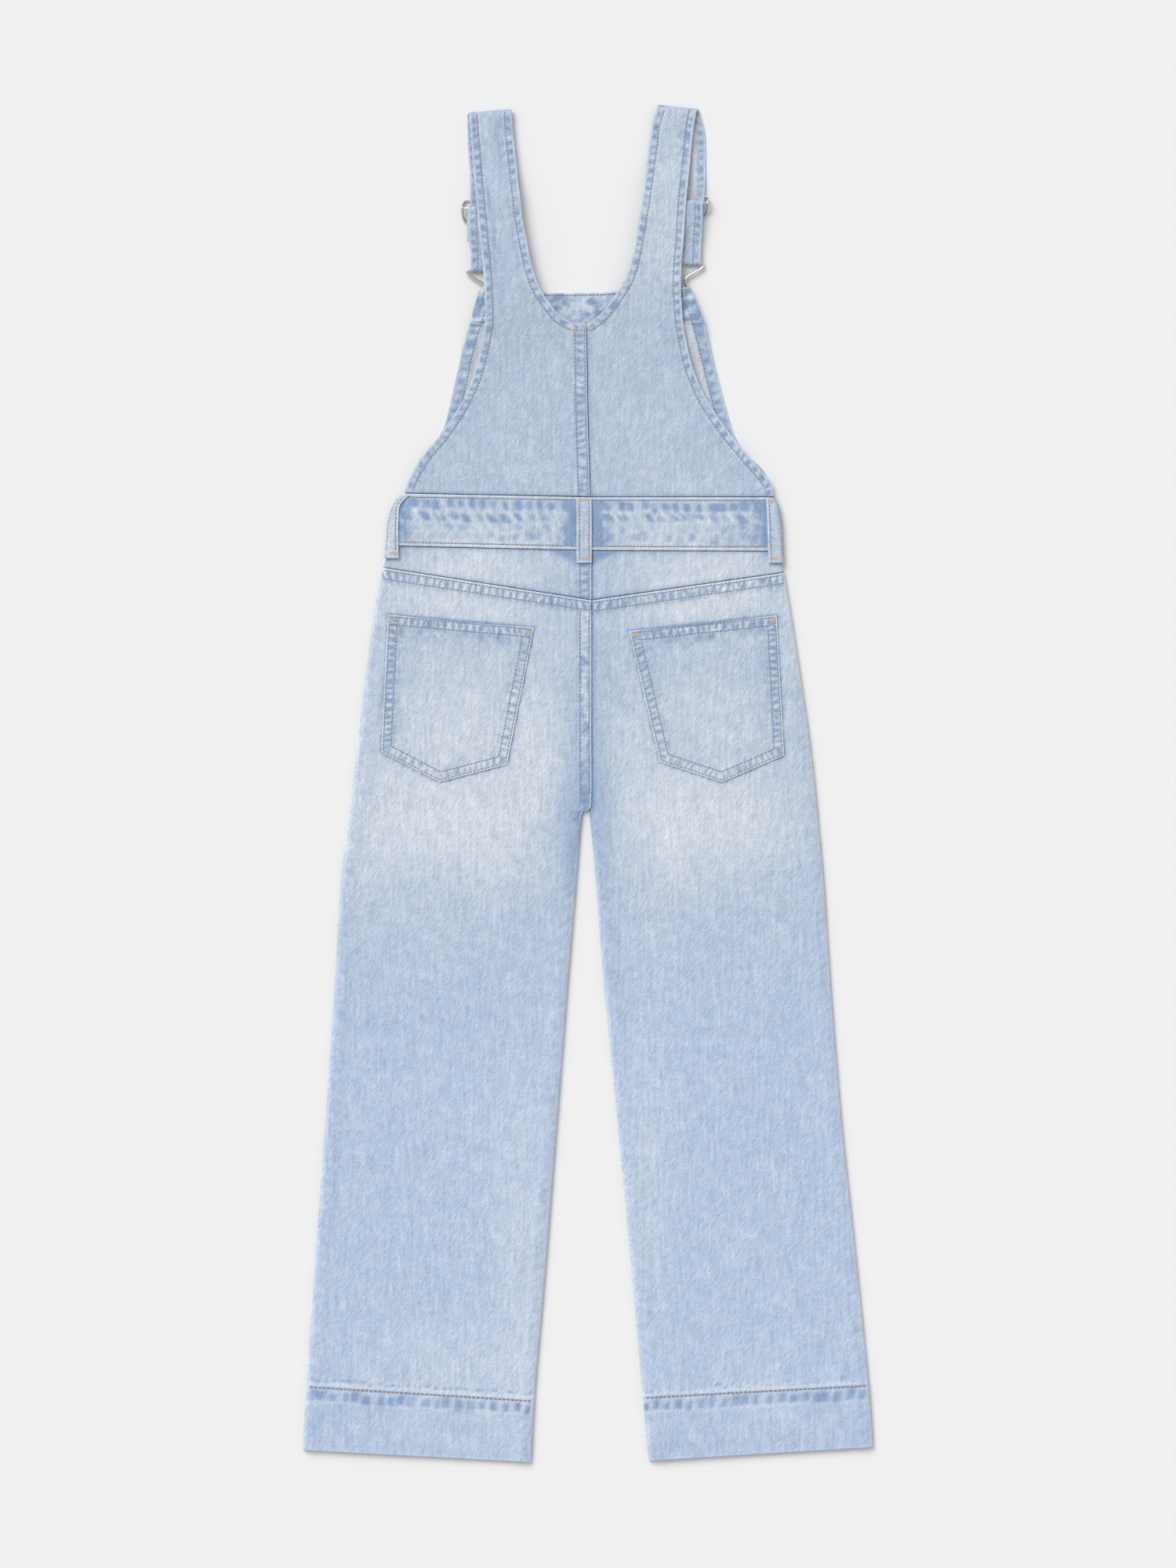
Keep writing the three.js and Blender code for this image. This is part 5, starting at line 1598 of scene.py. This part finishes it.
# A row for each section of a side loop: the garment's edge and the loop's inner edge
SIDE_LOOP = "edge_x inner_x y"
LOOP_LEFT = rows(SIDE_LOOP, [
    (-148.4, -143.4, 231.6),
    (-154.2, -150.6, 223.7),
    (-158.5, -151.9, 211.1),
    (-159.9, -152.0, 194.0),
    (-161.6, -151.8, 181.0),
])
LOOP_RIGHT = rows(SIDE_LOOP, [
    (148.8, 142.6, 228.9),
    (151.6, 143.2, 221.1),
    (153.4, 143.8, 209.8),
    (154.5, 144.3, 190.0),
    (155.6, 145.0, 177.2),
])


# The turn of a side loop round the band's edge: how far out, and the height
LOOP_TURN = np.array([(0.9, 2.9), (0.95, 4.2), (0.4, 5.3), (-0.6, 6.0), (-2.2, 6.3), (-3.5, 6.35)])


def side_loop(name, table, sign, seed):
    """Wraps over the rolled edge of the band; its cross-section is a quarter turn and a flat."""
    columns = [table[key] for key in ("edge_x", "y", "inner_x", "y")]
    sheet = Sheet(rows(SIDES, np.stack(columns, 1)), reach=3.4, edge_step=0.5, step=0.8, row_step=1.0)
    width = sheet.left + sheet.right
    inner = sheet.x[:, -1:]
    edge = sheet.x[:, :1]
    lengths = arc_of(np.hypot(*np.diff(LOOP_TURN, axis=0).T))
    flat = np.maximum(np.abs(inner - edge) + LOOP_TURN[-1, 0], 0.2)
    total = lengths[-1] + flat
    place = sheet.left / width * total
    turned = np.interp(place, lengths, LOOP_TURN[:, 0])
    height = np.interp(place, lengths, LOOP_TURN[:, 1])
    run = np.maximum(place - lengths[-1], 0)
    sheet.point[..., 0] = edge + sign * (turned - run)
    sheet.point[..., 2] = height
    sheet.left, sheet.right = place, total - place
    sheet.u = place
    sheet.bend_normals()
    if sheet.up[..., 2].mean() < 0:
        sheet.up *= -1
    loop_finish(name, sheet, seed)
    for side in ("right", "left"):
        loop_sewing.run(*column_line(sheet, side, LOOP_STITCH, 4.0, sheet.total - 5.5))
    tack_across(sheet, sheet.total - LOOP_TACK, left=4.4, right=0.4)
    if name == "loop_right":
        tack_across(sheet, 2.2, left=4.4, right=0.4)


side_loop("loop_left", LOOP_LEFT, -1, 920)
side_loop("loop_right", LOOP_RIGHT, 1, 940)
loop_sewing.build()
tacks.build()


# Hardware

WIRE = 1.1
SLIDER_WIRE = 1.0
WIRE_RINGS, WIRE_SIDES = 220, 14


def tube(path, radius):
    """Points and faces of a closed wire bent along a smooth path."""
    path = np.array(path, float)
    looped = np.vstack([path[-2:], path, path[:2]])
    centre = catmull(looped, np.linspace(2, len(path) + 2, WIRE_RINGS, endpoint=False))
    ahead = np.roll(centre, -1, 0) - np.roll(centre, 1, 0)
    ahead = unit(ahead)
    side = unit(np.cross(ahead, (0.0, 0.0, 1.0)))
    up = np.cross(side, ahead)
    angle = 2 * math.pi * np.arange(WIRE_SIDES) / WIRE_SIDES
    ring = np.cos(angle)[None, :, None] * side[:, None] + np.sin(angle)[None, :, None] * up[:, None]
    points = centre[:, None] + radius * ring
    return points.reshape(-1, 3), ring_quads(WIRE_RINGS, WIRE_SIDES, True)


def lathe(profile, axis_x=False, around=40):
    """Points and faces of a turned piece; its first and last profile points are near the axis."""
    profile = np.array(profile, float)
    angle = 2 * math.pi * np.arange(around) / around
    radius, height = profile[:, 0, None], profile[:, 1, None] + 0 * angle[None]
    x, y = radius * np.cos(angle)[None], radius * np.sin(angle)[None]
    points = np.stack([height, x, y] if axis_x else [x, y, height], 2).reshape(-1, 3)
    quads = ring_quads(len(profile), around, False)
    half = around // 2
    caps = []
    for offset in (0, (len(profile) - 1) * around):
        for k in range(half - 1):
            caps.append((offset + k, offset + k + 1, offset + around - 2 - k, offset + around - 1 - k))
    caps = np.array(caps)
    caps[: half - 1] = caps[: half - 1, ::-1]
    return points, np.concatenate([quads, caps])


def metal_object(name, parts, turn, place):
    """Joins parts, turns them about the upright and puts them in place."""
    points, quads, offset = [], [], 0
    for part_points, part_quads in parts:
        points.append(part_points)
        quads.append(facing_out(part_points, part_quads) + offset)
        offset += len(part_points)
    points = np.concatenate(points)
    cos, sin = math.cos(turn), math.sin(turn)
    x, y = points[:, 0].copy(), points[:, 1].copy()
    points[:, 0] = x * cos - y * sin + place[0]
    points[:, 1] = x * sin + y * cos + place[1]
    made, _ = mesh_object(name + "_metal", points, np.concatenate(quads), steel)
    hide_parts(name)
    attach(made, "root")
    return made


CLIP_BENDS = [
    (10, 0, 2.9), (17.7, -0.1, 2.9), (19.3, -0.9, 2.9), (19.6, -2.8, 2.9),
    (17.6, -4.9, 3.0), (12, -8.8, 3.1), (7.5, -11.9, 3.3), (6.3, -13.8, 3.4),
]
EYE_CENTRE, EYE_RADIUS, EYE_HEIGHT = -23.0, 9.2, 3.4
EYE_BENDS = 40, 18, -6, -30, -55
SLIDER_BENDS = [(10, 6.4, 1.0), (19.2, 6.4, 1.0), (21.2, 4.6, 2.2), (21.9, 1.8, 5.2)]
SLIDER_LOW = -10.4

# Radius and height of turned pieces: the slider's bar, each of its heads, and the button
BAR_HALF, HEAD_PLACE = 23, 22
BAR = [(0.02, -BAR_HALF), (0.9, -BAR_HALF), (SLIDER_WIRE, -22.8),
       (SLIDER_WIRE, 22.8), (0.9, BAR_HALF), (0.02, BAR_HALF)]
HEAD = [(0.02, -1.3), (1.3, -1.3), (1.75, -1.0), (1.9, -0.4),
        (1.9, 0.5), (1.6, 1.1), (0.9, 1.3), (0.02, 1.35)]
BUTTON = [
    (0.02, 0.55), (3.4, 0.5), (4.0, 0.25), (6.2, 0.0), (8.0, 0.3), (8.7, 0.75), (9.0, 1.2),
    (8.8, 1.75), (8.2, 2.0), (2.6, 2.0), (2.5, 2.2), (2.5, 4.4), (2.3, 4.5), (0.02, 4.5),
]


def mirrored(half):
    """The points of the other half, in the order that goes on round."""
    return [(-x, y, z) for x, y, z in reversed(half)]


def clip(side, holder):
    half = list(CLIP_BENDS)
    for degrees in EYE_BENDS:
        angle = math.radians(degrees)
        half.append((EYE_RADIUS * math.cos(angle), EYE_CENTRE + EYE_RADIUS * math.sin(angle), EYE_HEIGHT))
    path = [*half, (0, EYE_CENTRE - EYE_RADIUS, EYE_HEIGHT), *mirrored(half)]
    metal_object(f"clip_{side}", [tube(path, WIRE)], math.radians(holder["turn"]), holder["bar"])


def slider(side, holder):
    lower = [(x, y * SLIDER_LOW / SLIDER_BENDS[0][1], z) for x, y, z in reversed(SLIDER_BENDS)]
    half = SLIDER_BENDS + lower
    height = (SLIDER_LOWER + SLIDER_UPPER) / 2
    parts = [tube(half + mirrored(half), SLIDER_WIRE), lathe(BAR, axis_x=True, around=16)]
    for sign in (-1, 1):
        points, quads = lathe(HEAD, axis_x=True, around=20)
        points[:, 0] = sign * (points[:, 0] + HEAD_PLACE)
        parts.append((points, quads))
    for points, _ in parts[1:]:
        points[:, 2] += height
    metal_object(f"slider_{side}", parts, 0.0, holder["middle"])


def button(side, holder):
    metal_object(f"button_{side}", [lathe(BUTTON)], 0.0, button_place(holder))


for side, holder in HOLDERS.items():
    clip(side, holder)
    slider(side, holder)
    button(side, holder)


# Floor, camera and lights

FLOOR_HALF = 40.0
FLOOR_SHADES = (0.865, 0.865, 0.865, 1), (0.875, 0.875, 0.875, 1)


def floor():
    half = FLOOR_HALF
    mesh = bpy.data.meshes.new("floor")
    corners = [(-half, -half, 0), (half, -half, 0), (half, half, 0), (-half, half, 0)]
    mesh.from_pydata(corners, [], [(0, 1, 2, 3)])
    made = new_object("floor", mesh)
    material, tree, shader = nodes_of("floor")
    place = node(tree, "ShaderNodeTexCoord").outputs["Object"]
    cloudy = stretched_noise(tree, place, 0.8, 2)
    tree.links.new(mix_colour(tree, cloudy, *FLOOR_SHADES), shader.inputs["Base Color"])
    set_inputs(shader, Roughness=0.9, Specular_IOR_Level=0.1)
    mesh.materials.append(material)


floor()

PHOTO_HEIGHT, PHOTO_PIXEL = 2000, 0.63
FRAME_HEIGHT = PHOTO_HEIGHT * PHOTO_PIXEL * MM
CAMERA_HEIGHT = 3.4
SENSOR = 36.0
camera_data = bpy.data.cameras.new("camera")
camera_data.sensor_fit = "VERTICAL"
camera_data.sensor_height = SENSOR
camera_data.lens = SENSOR * CAMERA_HEIGHT / FRAME_HEIGHT
camera_data.clip_end = 30
camera = new_object("camera", camera_data)
camera.location = (0, 0, CAMERA_HEIGHT)
bpy.context.scene.camera = camera


SUN_SHARE = 0.42
SUN_TILT = math.radians(46)
SUN_ANGLE = math.radians(38)
sun_data = bpy.data.lights.new("softbox", "SUN")
sun_data.angle = SUN_ANGLE
sun = new_object("softbox", sun_data)
sun_data.energy = SUN_SHARE * math.pi / math.cos(SUN_TILT)
sun.rotation_euler = (-0.75 * SUN_TILT, -0.66 * SUN_TILT, 0)

world = bpy.data.worlds.new("world")
world.use_nodes = True
background = world.node_tree.nodes["Background"]
background.inputs["Color"].default_value = (1, 1, 1, 1)
background.inputs["Strength"].default_value = 1.0 - SUN_SHARE
bpy.context.scene.world = world
bpy.context.scene.view_settings.view_transform = "Standard"
